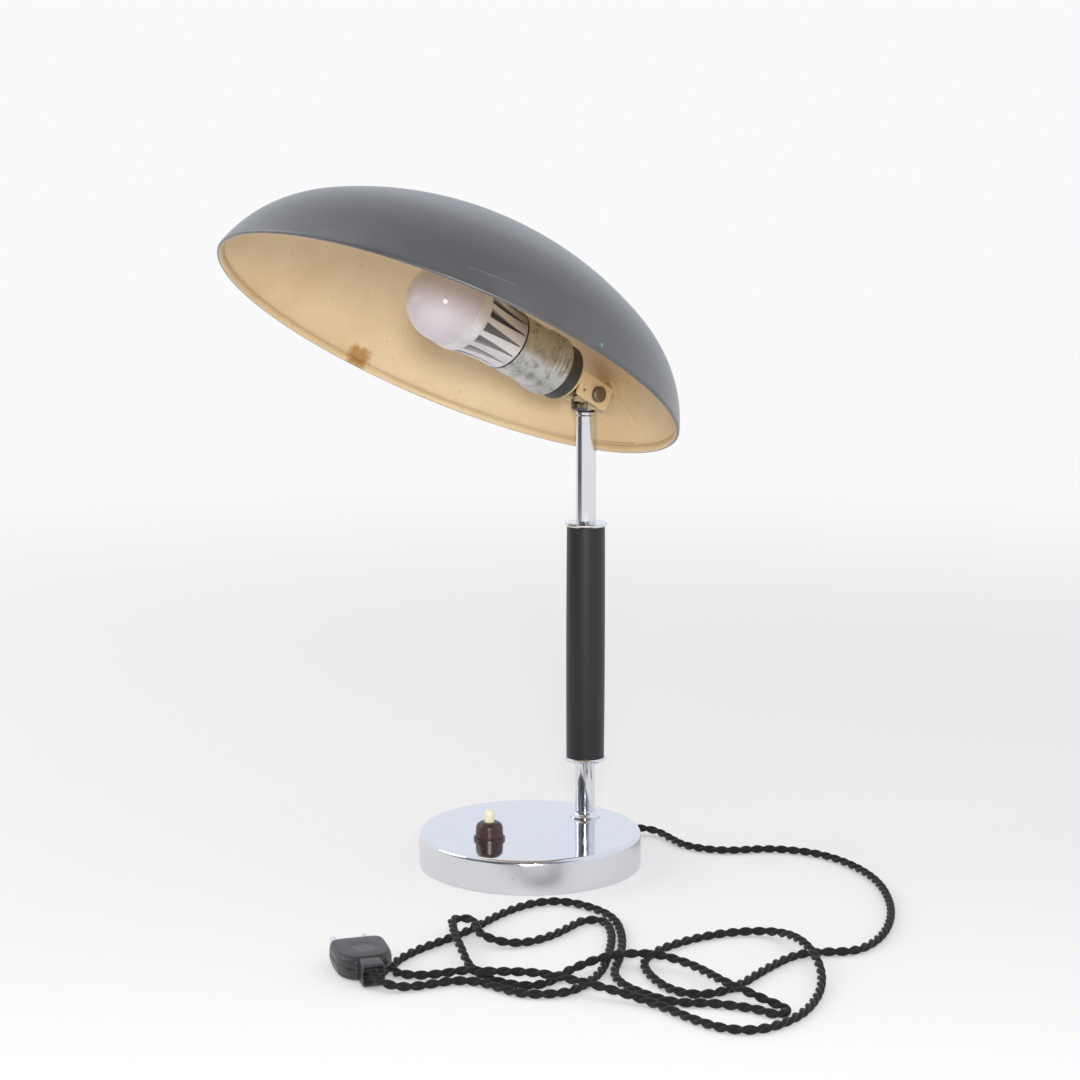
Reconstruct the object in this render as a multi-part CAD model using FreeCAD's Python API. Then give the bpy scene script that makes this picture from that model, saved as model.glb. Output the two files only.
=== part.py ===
import FreeCAD, Part
import math
import os
from FreeCAD import Vector

# Desk lamp with a tilting dome shade, in millimetres.
# Origin: centre of the round base, on the table. +Z up, the shade reaches towards -Y,
# and the stem stands behind the centre on +Y. Everything is symmetric about x = 0
# apart from the hinge bolt, the plug and the laid cord.

X_AXIS = Vector(1, 0, 0)
Y_AXIS = Vector(0, 1, 0)
Z_AXIS = Vector(0, 0, 1)
ORIGIN = Vector(0, 0, 0)

# Clearances
slip = 0.1            # radial play of a shaft or neck in its own hole
seat_gap = 0.3        # side gap of a piece that lies in a pocket
joint_gap = 0.3       # gap between faces that turn past each other

# Base: pressed cup over an iron disc, with a cover plate and a felt pad
base_diameter = 150.0
base_height = 22.9
base_wall = 1.5
base_edge_radius = 3.0
base_lift = 0.5
felt_thickness = 2.0
felt_inset = 2.5
cover_thickness = 1.2
weight_thickness = 10.0
boss_radius = 4.0
boss_circle = 48.0
boss_angles = (60, 180, 300)
cover_screw_radius = 1.5
cover_screw_head_radius = 3.0
cover_screw_length = 6.0

# Cord bush in the back of the base
bush_height = 6.0
bush_barrel_radius = 3.9
bush_flange_radius = 5.2
bush_flange_thickness = 2.2
bush_nose_radius = 3.4
bush_nose_length = 1.8
cord_straight = 16.0

# Push switch in the base top
switch_y = -36.0
switch_foot_radius = 10.5
switch_foot_height = 1.6
switch_cap_radius = 9.3
switch_cap_height = 12.0
switch_cap_wall = 1.6
switch_neck_radius = 5.0
switch_neck_length = 8.5
switch_body_radius = 8.6
switch_body_height = 13.5
button_radius = 3.4
button_proud = 8.0
button_travel = 3.0
button_inside = 6.5
button_tip_radius = 2.2

# Stem with its hand grip
stem_y = 50.3
tube_diameter = 13.9
tube_wall = 1.2
tube_below_nut = 1.5
foot_radius = 11.0
foot_top_radius = 7.7
foot_height = 4.7
stem_nut_flats = 24.0
stem_nut_height = 4.0
stem_washer_radius = 13.5
stem_washer_thickness = 1.2
grip_rise = 40.0
flange_radius = 14.8
flange_thickness = 2.5
flange_edge = 0.8
spigot_height = 3.0
grip_length = 160.7
grip_radius = 13.0
grip_crown = 0.3
grip_wall = 1.5
upper_tube_length = 70.8
tube_groove = 0.5
tube_groove_drop = 3.0

# Neck between the tube and the fork
neck_ring_height = 4.2
neck_washer_radius = 5.8
neck_washer_thickness = 1.2
nipple_radius = 5.0
nipple_bore = 3.6
nipple_in_tube = 9.0
insert_length = 12.0
fork_nut_radius = 6.4
fork_nut_height = 2.5
nipple_above_nut = 0.6

# Fork and hinge
fork_sheet = 1.5
fork_half_width = 8.3
fork_half_depth = 6.3
fork_bend_radius = 2.4
hinge_above_fork = 9.8
hinge_bolt_radius = 2.5
bolt_head_radius = 5.4
bolt_head_height = 3.4
hinge_washer_radius = 6.0
hinge_washer_thickness = 1.0
spring_washer_radius = 4.4
spring_washer_thickness = 1.2
hinge_nut_flats = 8.0
hinge_nut_height = 4.0
bolt_end = 1.0

# Shade: spun dome with a folded hem, level here and tilted when it is placed
shade_tilt = 28.72
shade_radius = 157.0
shade_depth = 84.3
shoulder_radius = 86.6
shoulder_end_angle = 74.1
shade_wall = 0.9
hem_thickness = 2.4
hem_height = 5.0
hinge_inside_rim = 35.2
hinge_rise = 26.2

# Sheet bracket inside the shade, which carries the lampholder and turns on the hinge
bracket_sheet = 1.5
seat_ahead_of_hinge = 23.8
seat_rise = 28.8
seat_radius = 16.0
seat_dip = 2.2
ear_behind_hinge = 12.2
ear_before_hinge = 17.3
ear_below_hinge = 7.7
ear_above_hinge = 8.8
ear_shoulder_drop = 9.0
ear_corner_radius = 3.0
ear_hole_forward = 11.8
ear_hole_drop = 2.2
ear_hole_radius = 1.3
window_half_width = 8.4
window_length = 10.5
doubler_sheet = 1.2
doubler_gap = 0.15
doubler_top_half_width = 10.0
doubler_waist_half_width = 12.0
doubler_foot_half_width = 31.0
doubler_waist_ahead = 19.0
doubler_foot_ahead = 10.6
doubler_top_ahead = 27.0

# Lampholder, along its own axis from the bracket's seat
holder_nipple_out = 6.0
holder_nut_flats = 13.0
holder_nut_height = 3.0
holder_cap_length = 13.5
holder_cap_rear_radius = 15.2
holder_cap_radius = 19.0
holder_cap_wall = 2.4
holder_mouth = 57.0
holder_shell_radius = 20.2
holder_shell_wall = 1.0
holder_lip = 0.5
rib_count = 4
rib_pitch = 3.4
rib_height = 0.9
holder_core_radius = 16.0
holder_core_length = 8.0
liner_radius = 14.2
liner_inner_radius = 13.3
liner_length = 27.0
contact_height = 1.6
contact_radius = 3.2

# Lamp bulb, along the same axis
bulb_cap_radius = 13.1
bulb_cap_length = 24.0
bulb_tip_radius = 5.0
bulb_tip_length = 2.6
bulb_neck_radius = 17.5
sink_rear_radius = 20.5
sink_front_radius = 25.2
sink_waist_radius = 21.7
sink_length = 39.0
sink_gap = 1.2
sink_bore = 15.0
slot_count = 16
slot_phase = 6.5
slot_front_half_width = 3.0
slot_rear_half_width = 0.3
slot_floor_radius = 18.0
slot_rear_margin = 0.8
slot_front_margin = 2.2
bulb_ring_length = 7.0
bulb_ring_radius = 25.4
diffuser_radius = 25.2
diffuser_skirt = 9.0
diffuser_wall = 1.2

# Mains cord: two twisted strands, whose outer diameter the tube has
cord_diameter = 5.4
cord_corner_share = 0.45

# Plug at the cord's far end, along its own axis from the cord's end
plug_parting_height = 8.0
plug_length = 45.5
plug_half_width = 16.6
plug_face_half_width = 11.5
plug_rear = 6.0
plug_rear_half_width = 8.0
plug_shoulder_start = 18.0
plug_face_inset = 4.0
plug_face_front_inset = 2.5
plug_half_thickness = 7.5
collar_length = 5.0
collar_half_width = 6.8
collar_wall = 2.0
pin_radius = 2.0
pin_spacing = 19.0
pin_length = 19.0
pin_inside = 12.0
recess_along = 24.0
recess_half_width = 9.5
recess_radius = 5.0
recess_depth = 2.6
plug_screw_along = 30.0
plug_screw_radius = 1.5
plug_screw_head_radius = 3.0
plug_screw_head_height = 2.0
plug_screw_length = 12.0

# Heights and radii that follow from the sizes above
base_radius = base_diameter / 2
base_inner_radius = base_radius - base_wall
base_ceiling = base_height - base_wall
weight_top = base_ceiling - slip
weight_bottom = weight_top - weight_thickness
cover_bottom = felt_thickness
cover_top = cover_bottom + cover_thickness
tube_radius = tube_diameter / 2
tube_inner_radius = tube_radius - tube_wall
lower_flange_bottom = base_height + grip_rise
grip_bottom = lower_flange_bottom + flange_thickness
grip_top = grip_bottom + grip_length
upper_flange_top = grip_top + flange_thickness
tube_top = upper_flange_top + upper_tube_length
neck_top = tube_top + neck_ring_height
fork_bottom = neck_top + neck_washer_thickness
fork_floor = fork_bottom + fork_sheet
hinge_height = fork_floor + hinge_above_fork
hinge_point = Vector(0, stem_y, hinge_height)
hinge_back = shade_radius - hinge_inside_rim
seat_back = hinge_back - seat_ahead_of_hinge
ear_inner = fork_half_width + hinge_washer_thickness + joint_gap
ear_outer = ear_inner + bracket_sheet
shoulder_cos = math.cos(math.radians(shoulder_end_angle))
shoulder_sin = math.sin(math.radians(shoulder_end_angle))
shoulder_x = shade_radius - shoulder_radius * shoulder_sin
shoulder_z = -shoulder_radius * shoulder_cos
dome_rise = shade_depth - shoulder_z
crown_radius = (shoulder_x ** 2 + dome_rise ** 2 - shoulder_radius ** 2) / (2 * (dome_rise - shoulder_radius))
crown_z = shade_depth - crown_radius
crown_end_angle = math.atan2(shoulder_x, shoulder_z - crown_z)
sink_rear = holder_mouth + sink_gap
sink_front = sink_rear + sink_length
ring_front = sink_front + bulb_ring_length
diffuser_centre = ring_front + diffuser_skirt
core_front = holder_cap_length + holder_core_length
liner_front = core_front + liner_length
bulb_tip_rear = core_front + contact_height
bulb_cap_rear = bulb_tip_rear + bulb_tip_length
bulb_cap_front = bulb_cap_rear + bulb_cap_length

cord_start = base_radius + bush_flange_thickness + bush_nose_length

# The cord's way from the base to the plug, chosen point by point: behind the base, round
# the big loop on the right, along the front to the plug, back over itself twice and out.
cord_points = [
    (0, cord_start, bush_height), (0, cord_start + cord_straight, bush_height), (11, 107, 4.2), (30, 104, 2.8), (50, 98, 2.8), (76, 109, 2.8),
    (93, 141, 2.8), (130, 158, 2.8), (183, 144, 2.8), (231, 104, 2.8), (262, 60, 2.8),
    (272, 24, 2.8), (258, 7, 2.8), (250, -9, 2.8), (256, -41, 2.8), (266, -76, 2.8),
    (263, -98, 2.8), (247, -107, 2.8), (223, -101, 2.8), (200, -87, 2.8), (191, -66, 2.8),
    (190, -42, 2.8), (193, -20, 2.8), (202, 0, 2.8), (219, 10, 4.6), (244, 2, 8.7),
    (270, -13, 8.7), (290, -29, 4.6), (307, -52, 2.8), (320, -81, 2.8), (321, -111, 2.8),
    (307, -126, 2.8), (286, -129, 2.8), (266, -128, 2.8), (250, -129, 3.2), (236, -135, 5.6),
    (221, -144, 8.6), (204, -151, 9.6), (187, -156, 9.2), (175, -165, 8.8), (165, -176, 8.8),
    (153, -182, 7.8), (142, -189, 4.4), (134, -196, 2.8), (127, -203.5, 2.8), (118.4, -206.8, 2.8),
    (108.4, -200.8, 2.8), (102, -190, 2.8), (96, -171, 2.8), (93, -144, 2.8), (88, -121, 2.8),
    (78, -93, 2.8), (74, -64, 2.8), (83, -46, 2.8), (106, -40, 2.8), (132, -44, 2.8),
    (160, -64, 2.8), (185.5, -90, 2.8), (202, -112, 2.8), (219, -121, 2.8), (235, -122, 2.8),
    (250, -121, 2.8), (263, -116, 2.8), (272, -105, 2.8), (285, -97, 2.8), (298, -91, 2.8),
    (308, -90.6, 2.8), (311.6, -84.5, 2.8), (308, -78.4, 2.8), (299, -79, 3.4), (286, -84, 6.8),
    (265, -86, 9), (241, -78, 7.4), (223, -77, 7.4), (210, -82, 8.9), (201, -89, 9),
    (194, -99, 9), (190, -111, 8.2), (186, -122, 5.6), (185, -136, 3.4), (190, -151, 2.8),
    (187, -163, 2.8), (175, -170, 2.8), (158, -173, 2.8), (141, -170, 4.4), (122, -160, 8.6),
    (104, -150.5, 9.1), (91.5, -141, 9.1), (81, -134.5, 8.9), (81.8, -127.3, 8.8),
    (88.1, -123.9, 8.8), (98.5, -128.5, 8.9), (109, -136.5, 8.6), (120, -131, 4.8),
    (129, -119, 2.8), (131, -99, 2.8), (126, -78, 2.8), (121, -64, 2.8), (124.5, -55.5, 2.8),
    (133, -53.5, 2.8), (143, -59, 2.8), (159, -72, 2.8), (179, -94, 2.8), (194.5, -112.5, 2.8),
    (204, -131, 2.8), (209, -150, 2.8), (204, -163, 2.8), (193, -174, 2.8), (179, -177, 2.8),
    (163, -179, 2.8), (151, -189, 2.8), (148, -201, 2.8), (144.5, -211.5, 2.8),
    (140.5, -220, 3.4), (134.8, -226.7, 5.6), (128.5, -228.2, 8), (122.4, -225.5, 8),
]


def save(shape, node):
    shape.exportStep("parts/" + node + ".step")


def cylinder(radius, bottom, top, x=0.0, y=0.0):
    return Part.makeCylinder(radius, top - bottom, Vector(x, y, bottom))


def pipe(outer, inner, bottom, top, x=0.0, y=0.0):
    return cylinder(outer, bottom, top, x, y).cut(cylinder(inner, bottom, top, x, y))


def rod_x(radius, start, end, centre):
    base = Vector(start, centre.y, centre.z)
    return Part.makeCylinder(radius, end - start, base, X_AXIS)


def block(x0, x1, y0, y1, z0, z1):
    return Part.makeBox(x1 - x0, y1 - y0, z1 - z0, Vector(x0, y0, z0))


def hexagon(flats, bottom, top, x=0.0, y=0.0):
    corner = flats / math.sqrt(3)
    points = []
    for step in range(7):
        angle = math.radians(60 * step)
        points.append(Vector(x + corner * math.cos(angle), y + corner * math.sin(angle), bottom))
    return Part.Face(Part.makePolygon(points)).extrude(Vector(0, 0, top - bottom))


def spin(edges):
    """Turn a closed outline of edges in the XZ plane a full turn about Z."""
    face = Part.Face(Part.Wire(Part.__sortEdges__(edges)))
    return face.revolve(ORIGIN, Z_AXIS, 360)


def lines(points):
    """Straight edges through (radius, height) points."""
    edges = []
    for (r0, z0), (r1, z1) in zip(points[:-1], points[1:]):
        edges.append(Part.LineSegment(Vector(r0, 0, z0), Vector(r1, 0, z1)).toShape())
    return edges


def bow(start, middle, end):
    """One arc through three (radius, height) points."""
    corners = [Vector(r, 0, z) for r, z in (start, middle, end)]
    return Part.Arc(*corners).toShape()


def spin_profile(points):
    return spin(lines(points + [points[0]]))


def at_stem(shape):
    shape.translate(Vector(0, stem_y, 0))
    return shape


# Base

def make_base_shell():
    outer = cylinder(base_radius, base_lift, base_height)
    rim = [edge for edge in outer.Edges if edge.Closed and edge.BoundBox.ZMin > base_lift]
    outer = outer.makeFillet(base_edge_radius, rim)
    inner = cylinder(base_inner_radius, base_lift, base_ceiling)
    rim = [edge for edge in inner.Edges if edge.Closed and edge.BoundBox.ZMin > base_lift]
    inner = inner.makeFillet(base_edge_radius - base_wall, rim)
    shell = outer.cut(inner)
    shell = shell.cut(cylinder(tube_radius + slip, base_ceiling, base_height, 0, stem_y))
    shell = shell.cut(cylinder(switch_neck_radius + slip, base_ceiling, base_height, 0, switch_y))
    hole = Part.makeCylinder(bush_barrel_radius + slip, base_radius, Vector(0, 0, bush_height), Y_AXIS)
    return shell.cut(hole)


def make_base_weight():
    disc = cylinder(base_inner_radius - base_edge_radius, weight_bottom, weight_top)
    disc = disc.fuse(cylinder(base_inner_radius - seat_gap, weight_bottom, weight_top - base_edge_radius))
    for angle in boss_angles:
        x, y = boss_centre(angle)
        disc = disc.fuse(cylinder(boss_radius, cover_top, weight_bottom, x, y))
        disc = disc.cut(cylinder(cover_screw_radius, cover_top, cover_bottom + cover_screw_length, x, y))
    disc = disc.cut(cylinder(tube_radius + slip, weight_bottom, weight_top, 0, stem_y))
    return disc.cut(cylinder(switch_body_radius + seat_gap, weight_bottom, weight_top, 0, switch_y))


def boss_centre(angle):
    turn = math.radians(angle)
    return boss_circle * math.cos(turn), boss_circle * math.sin(turn)


def make_base_cover():
    disc = cylinder(base_inner_radius - seat_gap, cover_bottom, cover_top)
    for angle in boss_angles:
        x, y = boss_centre(angle)
        disc = disc.cut(cylinder(cover_screw_head_radius + slip, cover_bottom, cover_top, x, y))
    return disc


def make_base_felt():
    return cylinder(base_radius - felt_inset, 0, felt_thickness)


def make_base_screws():
    screws = []
    for angle in boss_angles:
        x, y = boss_centre(angle)
        head = cylinder(cover_screw_head_radius, cover_bottom, cover_top, x, y)
        screws.append(head.fuse(cylinder(cover_screw_radius, cover_top, cover_bottom + cover_screw_length, x, y)))
    return Part.makeCompound(screws)


def make_cord_bush():
    barrel_length = base_wall - slip
    points = [(0, -barrel_length), (bush_barrel_radius, -barrel_length), (bush_barrel_radius, 0)]
    points += [(bush_flange_radius, 0), (bush_flange_radius, bush_flange_thickness)]
    points += [(bush_nose_radius + slip, bush_flange_thickness)]
    nose_end = bush_flange_thickness + bush_nose_length
    points += [(bush_nose_radius, nose_end), (0, nose_end)]
    bush = spin_profile(points)
    bush.rotate(ORIGIN, X_AXIS, -90)
    bush.translate(Vector(0, base_radius, bush_height))
    return bush


# Push switch

def make_switch_cap():
    top = base_height + switch_cap_height
    mid = base_height + 0.62 * switch_cap_height
    crown = button_radius + joint_gap
    inner = switch_cap_radius - switch_cap_wall
    edges = lines([(inner, base_height), (switch_foot_radius, base_height)])
    edges += lines([(switch_foot_radius, base_height), (switch_foot_radius, base_height + switch_foot_height)])
    edges += lines([(switch_foot_radius, base_height + switch_foot_height),
                    (switch_cap_radius, base_height + switch_foot_height)])
    edges += lines([(switch_cap_radius, base_height + switch_foot_height), (switch_cap_radius - 0.3, mid)])
    shoulder = (switch_cap_radius - 1.5, mid + 0.7 * (top - mid))
    edges.append(bow((switch_cap_radius - 0.3, mid), shoulder, (crown, top)))
    edges += lines([(crown, top), (crown, top - switch_cap_wall), (inner, mid - switch_cap_wall)])
    edges += lines([(inner, mid - switch_cap_wall), (inner, base_height)])
    return spin_y(spin(edges), switch_y)


def spin_y(shape, y):
    shape.translate(Vector(0, y, 0))
    return shape


def make_switch_body():
    body = cylinder(switch_body_radius, base_ceiling - switch_body_height, base_ceiling, 0, switch_y)
    neck_top_z = base_ceiling + switch_neck_length
    body = body.fuse(cylinder(switch_neck_radius, base_ceiling, neck_top_z, 0, switch_y))
    well_bottom = button_bottom() - button_travel - joint_gap
    return body.cut(cylinder(button_radius + slip, well_bottom, neck_top_z, 0, switch_y))


def button_bottom():
    return base_height + switch_cap_height - button_inside


def make_button():
    top = base_height + switch_cap_height + button_proud
    shaft_top = top - button_tip_radius
    tip_flat = button_radius - button_tip_radius
    corner = button_tip_radius * math.sqrt(0.5)
    edges = lines([(0, button_bottom()), (button_radius, button_bottom()), (button_radius, shaft_top)])
    edges.append(bow((button_radius, shaft_top), (tip_flat + corner, shaft_top + corner), (tip_flat, top)))
    edges += lines([(tip_flat, top), (0, top), (0, button_bottom())])
    return spin_y(spin(edges), switch_y)


# Stem

def make_stem_tube():
    bottom = weight_bottom - stem_washer_thickness - stem_nut_height - tube_below_nut
    groove_z = tube_top - tube_groove_drop
    tube = pipe(tube_radius, tube_inner_radius, bottom, tube_top)
    groove = pipe(tube_radius, tube_radius - tube_groove, groove_z - tube_groove, groove_z)
    return at_stem(tube.cut(groove))


def make_stem_nut():
    top = weight_bottom - stem_washer_thickness
    nut = hexagon(stem_nut_flats, top - stem_nut_height, top)
    return at_stem(nut.cut(cylinder(tube_radius, top - stem_nut_height, top)))


def make_stem_washer():
    bottom = weight_bottom - stem_washer_thickness
    return at_stem(pipe(stem_washer_radius, tube_radius + slip, bottom, weight_bottom))


def make_foot_collar():
    top = base_height + foot_height
    lip = foot_height / 6
    waist = foot_top_radius + (foot_radius - foot_top_radius) / 4
    bore = tube_radius
    edges = lines([(bore, base_height), (foot_radius, base_height), (foot_radius, base_height + lip)])
    middle = (waist, base_height + foot_height / 2)
    edges.append(bow((foot_radius, base_height + lip), middle, (foot_top_radius, top)))
    edges += lines([(foot_top_radius, top), (bore, top), (bore, base_height)])
    return at_stem(spin(edges))


def flange_profile(bottom, spigot_up):
    """A round disc with eased edges and a spigot that centres the grip."""
    top = bottom + flange_thickness
    eased = flange_radius - flange_edge
    spigot = grip_radius - grip_wall - slip
    outline = [(tube_radius, bottom), (eased, bottom), (flange_radius, bottom + flange_edge)]
    outline += [(flange_radius, top - flange_edge), (eased, top)]
    if spigot_up:
        outline += [(spigot, top), (spigot, top + spigot_height), (tube_radius, top + spigot_height)]
    else:
        outline += [(tube_radius, top), (tube_radius, bottom - spigot_height)]
        outline += [(spigot, bottom - spigot_height), (spigot, bottom)]
        outline.remove((tube_radius, bottom))
    return at_stem(spin_profile(outline))


def make_grip_sleeve():
    inner = grip_radius - grip_wall
    middle = (grip_radius + grip_crown, (grip_bottom + grip_top) / 2)
    edges = lines([(inner, grip_bottom), (grip_radius, grip_bottom)])
    edges.append(bow((grip_radius, grip_bottom), middle, (grip_radius, grip_top)))
    edges += lines([(grip_radius, grip_top), (inner, grip_top), (inner, grip_bottom)])
    return at_stem(spin(edges))


# Neck and fork

def make_tube_insert():
    return at_stem(pipe(tube_inner_radius, nipple_radius, tube_top - insert_length, tube_top))


def make_neck_ring():
    groove = tube_groove
    middle = tube_top + neck_ring_height / 2
    outline = [(nipple_radius, tube_top), (tube_radius, tube_top), (tube_radius, middle - groove)]
    outline += [(tube_radius - groove, middle), (tube_radius, middle + groove)]
    outline += [(tube_radius, neck_top), (nipple_radius, neck_top)]
    return at_stem(spin_profile(outline))


def make_neck_washer():
    return at_stem(pipe(neck_washer_radius, nipple_radius, neck_top, fork_bottom))


def make_neck_nipple():
    top = fork_floor + fork_nut_height + nipple_above_nut
    return at_stem(pipe(nipple_radius, nipple_bore, tube_top - nipple_in_tube, top))


def make_fork_nut():
    top = fork_floor + fork_nut_height
    nut = pipe(fork_nut_radius, nipple_radius, fork_floor, top)
    slot = block(-fork_nut_radius, fork_nut_radius, -0.8, 0.8, top - 1.0, top)
    return at_stem(nut.cut(slot))


def make_head_fork():
    top = hinge_height + fork_half_depth
    depth = 2 * fork_half_depth
    outer = block(-fork_half_width, fork_half_width, -fork_half_depth, fork_half_depth, fork_bottom, top)
    lower = [edge for edge in outer.Edges if edge.BoundBox.ZMax < fork_floor and edge.BoundBox.YLength > depth / 2]
    outer = outer.makeFillet(fork_bend_radius, lower)
    inner_half = fork_half_width - fork_sheet
    inner = block(-inner_half, inner_half, -fork_half_depth, fork_half_depth, fork_floor, top)
    lower = [edge for edge in inner.Edges
             if edge.BoundBox.ZMax < fork_floor + slip and edge.BoundBox.YLength > depth / 2]
    inner = inner.makeFillet(fork_bend_radius - fork_sheet, lower)
    side = block(-fork_half_width, fork_half_width, -fork_half_depth, fork_half_depth, fork_bottom, hinge_height)
    side = side.fuse(rod_x(fork_half_depth, -fork_half_width, fork_half_width, Vector(0, 0, hinge_height)))
    fork = outer.cut(inner).common(side)
    fork = fork.cut(rod_x(hinge_bolt_radius + slip / 2, -fork_half_width, fork_half_width, Vector(0, 0, hinge_height)))
    return at_stem(fork.cut(cylinder(nipple_radius + slip, fork_bottom, fork_floor)))


# Hinge hardware, on the fork

def make_hinge_bolt():
    nut_side = -(ear_outer + joint_gap + spring_washer_thickness + hinge_nut_height + bolt_end)
    head_side = ear_outer + joint_gap
    shank = rod_x(hinge_bolt_radius, nut_side, head_side, hinge_point)
    edge = bolt_head_height / 2
    eased = bolt_head_radius - bolt_head_height / 4
    outline = [(0, 0), (bolt_head_radius, 0), (bolt_head_radius, edge)]
    edges = lines(outline)
    middle = (bolt_head_radius - bolt_head_height / 9, edge + bolt_head_height / 3)
    edges.append(bow((bolt_head_radius, edge), middle, (eased - edge / 2, bolt_head_height)))
    edges += lines([(eased - edge / 2, bolt_head_height), (0, bolt_head_height), (0, 0)])
    head = spin(edges)
    head.rotate(ORIGIN, Y_AXIS, 90)
    head.translate(hinge_point + Vector(head_side, 0, 0))
    return shank.fuse(head)


def make_hinge_washers():
    washers = []
    for start in (fork_half_width, -fork_half_width - hinge_washer_thickness):
        disc = rod_x(hinge_washer_radius, start, start + hinge_washer_thickness, hinge_point)
        hole = rod_x(hinge_bolt_radius + slip / 2, start, start + hinge_washer_thickness, hinge_point)
        washers.append(disc.cut(hole))
    return Part.makeCompound(washers)


def make_spring_washer():
    start = -(ear_outer + joint_gap + spring_washer_thickness)
    end = start + spring_washer_thickness
    disc = rod_x(spring_washer_radius, start, end, hinge_point)
    return disc.cut(rod_x(hinge_bolt_radius, start, end, hinge_point))


def make_hinge_nut():
    end = -(ear_outer + joint_gap + spring_washer_thickness)
    nut = hexagon(hinge_nut_flats, 0, hinge_nut_height)
    nut.rotate(ORIGIN, Y_AXIS, 90)
    nut.translate(hinge_point + Vector(end - hinge_nut_height, 0, 0))
    return nut.cut(rod_x(hinge_bolt_radius, end - hinge_nut_height, end, hinge_point))


# Shade and its bracket, drawn level about the shade's own axis

def to_shade(shape):
    """Carry a shape from the level shade's frame to the tilted shade on its hinge."""
    shape.translate(Vector(0, -hinge_back, -hinge_rise))
    shape.rotate(ORIGIN, X_AXIS, -shade_tilt)
    shape.translate(hinge_point)
    return shape


def crown_point(offset, angle):
    radius = crown_radius - offset
    return radius * math.sin(angle), crown_z + radius * math.cos(angle)


def shoulder_point(offset, angle):
    radius = shoulder_radius - offset
    return shoulder_x + radius * math.sin(angle), shoulder_z + radius * math.cos(angle)


def shoulder_angle(offset, height):
    return math.acos((height - shoulder_z) / (shoulder_radius - offset))


def dome_edges(offset, height):
    """The dome's line, set in by an offset, from its crown down to a height above the rim."""
    end = shoulder_angle(offset, height)
    crown = bow(crown_point(offset, 0), crown_point(offset, crown_end_angle / 2), crown_point(offset, crown_end_angle))
    middle = (crown_end_angle + end) / 2
    shoulder = bow(shoulder_point(offset, crown_end_angle), shoulder_point(offset, middle), shoulder_point(offset, end))
    return [crown, shoulder]


def make_shade_shell():
    edges = dome_edges(0, 0) + dome_edges(shade_wall, hem_height)
    edges += lines([crown_point(0, 0), crown_point(shade_wall, 0)])
    outer_rim = shoulder_point(0, shoulder_angle(0, 0))
    inner_rim = shoulder_point(hem_thickness, shoulder_angle(hem_thickness, 0))
    fold = ((outer_rim[0] + inner_rim[0]) / 2, -hem_thickness / 2)
    edges.append(bow(outer_rim, fold, inner_rim))
    hem_top = shoulder_point(hem_thickness, shoulder_angle(hem_thickness, hem_height))
    wall_foot = shoulder_point(shade_wall, shoulder_angle(shade_wall, hem_height))
    hem_middle_angle = (shoulder_angle(hem_thickness, 0) + shoulder_angle(hem_thickness, hem_height)) / 2
    edges.append(bow(inner_rim, shoulder_point(hem_thickness, hem_middle_angle), hem_top))
    edges += lines([hem_top, wall_foot])
    return to_shade(spin(edges))


def dome_inside(offset, height):
    """The solid that fills the dome down to a height, set in by an offset."""
    top = crown_point(offset, 0)
    foot = shoulder_point(offset, shoulder_angle(offset, height))
    return spin(dome_edges(offset, height) + lines([foot, (0, height), top]))


def make_doubler():
    """The flange of the bracket that lies against the inside of the dome's back."""
    layer_outside = shade_wall + doubler_gap
    foot_height_above_rim = hem_height + seat_gap
    layer = dome_inside(layer_outside, foot_height_above_rim)
    layer = layer.cut(dome_inside(layer_outside + doubler_sheet, foot_height_above_rim))
    top = shade_radius - doubler_top_ahead
    waist = shade_radius - doubler_waist_ahead
    foot = shade_radius - doubler_foot_ahead
    side = [(doubler_top_half_width, top), (doubler_waist_half_width, waist), (doubler_foot_half_width, foot)]
    side += [(doubler_foot_half_width, shade_radius)]
    corners = [Vector(x, y, 0) for x, y in side]
    corners += [Vector(-x, y, 0) for x, y in reversed(side)]
    plan = Part.Face(Part.makePolygon(corners + [corners[0]]))
    return layer.common(plan.extrude(Vector(0, 0, shade_depth)))


def make_ear(inner, outer):
    """One upright side of the bracket, with its bolt hole and a small free hole."""
    rear = hinge_back + ear_behind_hinge
    front = hinge_back - ear_before_hinge
    low = hinge_rise - ear_below_hinge
    high = hinge_rise + ear_above_hinge
    seat = seat_back + bracket_sheet / 2
    step = high - ear_shoulder_drop
    ear = block(inner, outer, front, rear, low, high)
    corners = [edge for edge in ear.Edges
               if edge.BoundBox.ZMax < high and edge.BoundBox.XLength > bracket_sheet / 2]
    ear = ear.makeFillet(ear_corner_radius, corners)
    ear = ear.fuse(block(inner, outer, seat, front + ear_corner_radius, step, high))
    ear = ear.cut(rod_x(hinge_bolt_radius + slip, inner, outer, Vector(0, hinge_back, hinge_rise)))
    small = Vector(0, hinge_back - ear_hole_forward, hinge_rise - ear_hole_drop)
    return ear.cut(rod_x(ear_hole_radius, inner, outer, small))


def make_shade_bracket():
    high = hinge_rise + ear_above_hinge
    seat = seat_back + bracket_sheet / 2
    web = block(-ear_outer, ear_outer, seat, shade_radius, high - bracket_sheet, high)
    window_rear = seat_back + bracket_sheet + window_length
    window = block(-window_half_width, window_half_width, seat_back, window_rear, 0, shade_depth)
    plate = cylinder(seat_radius, -bracket_sheet, 0)
    plate = plate.cut(cylinder(nipple_radius + slip, -bracket_sheet, 0))
    bracket = make_ear(ear_inner, ear_outer).fuse(make_ear(-ear_outer, -ear_inner))
    bracket = bracket.fuse(web.cut(window)).fuse(make_doubler())
    bracket = bracket.fuse(to_seat(plate))
    return to_shade(bracket.common(dome_inside(shade_wall + doubler_gap, 0)).removeSplitter())


# Lampholder and bulb, drawn along Z from the bracket's seat

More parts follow.
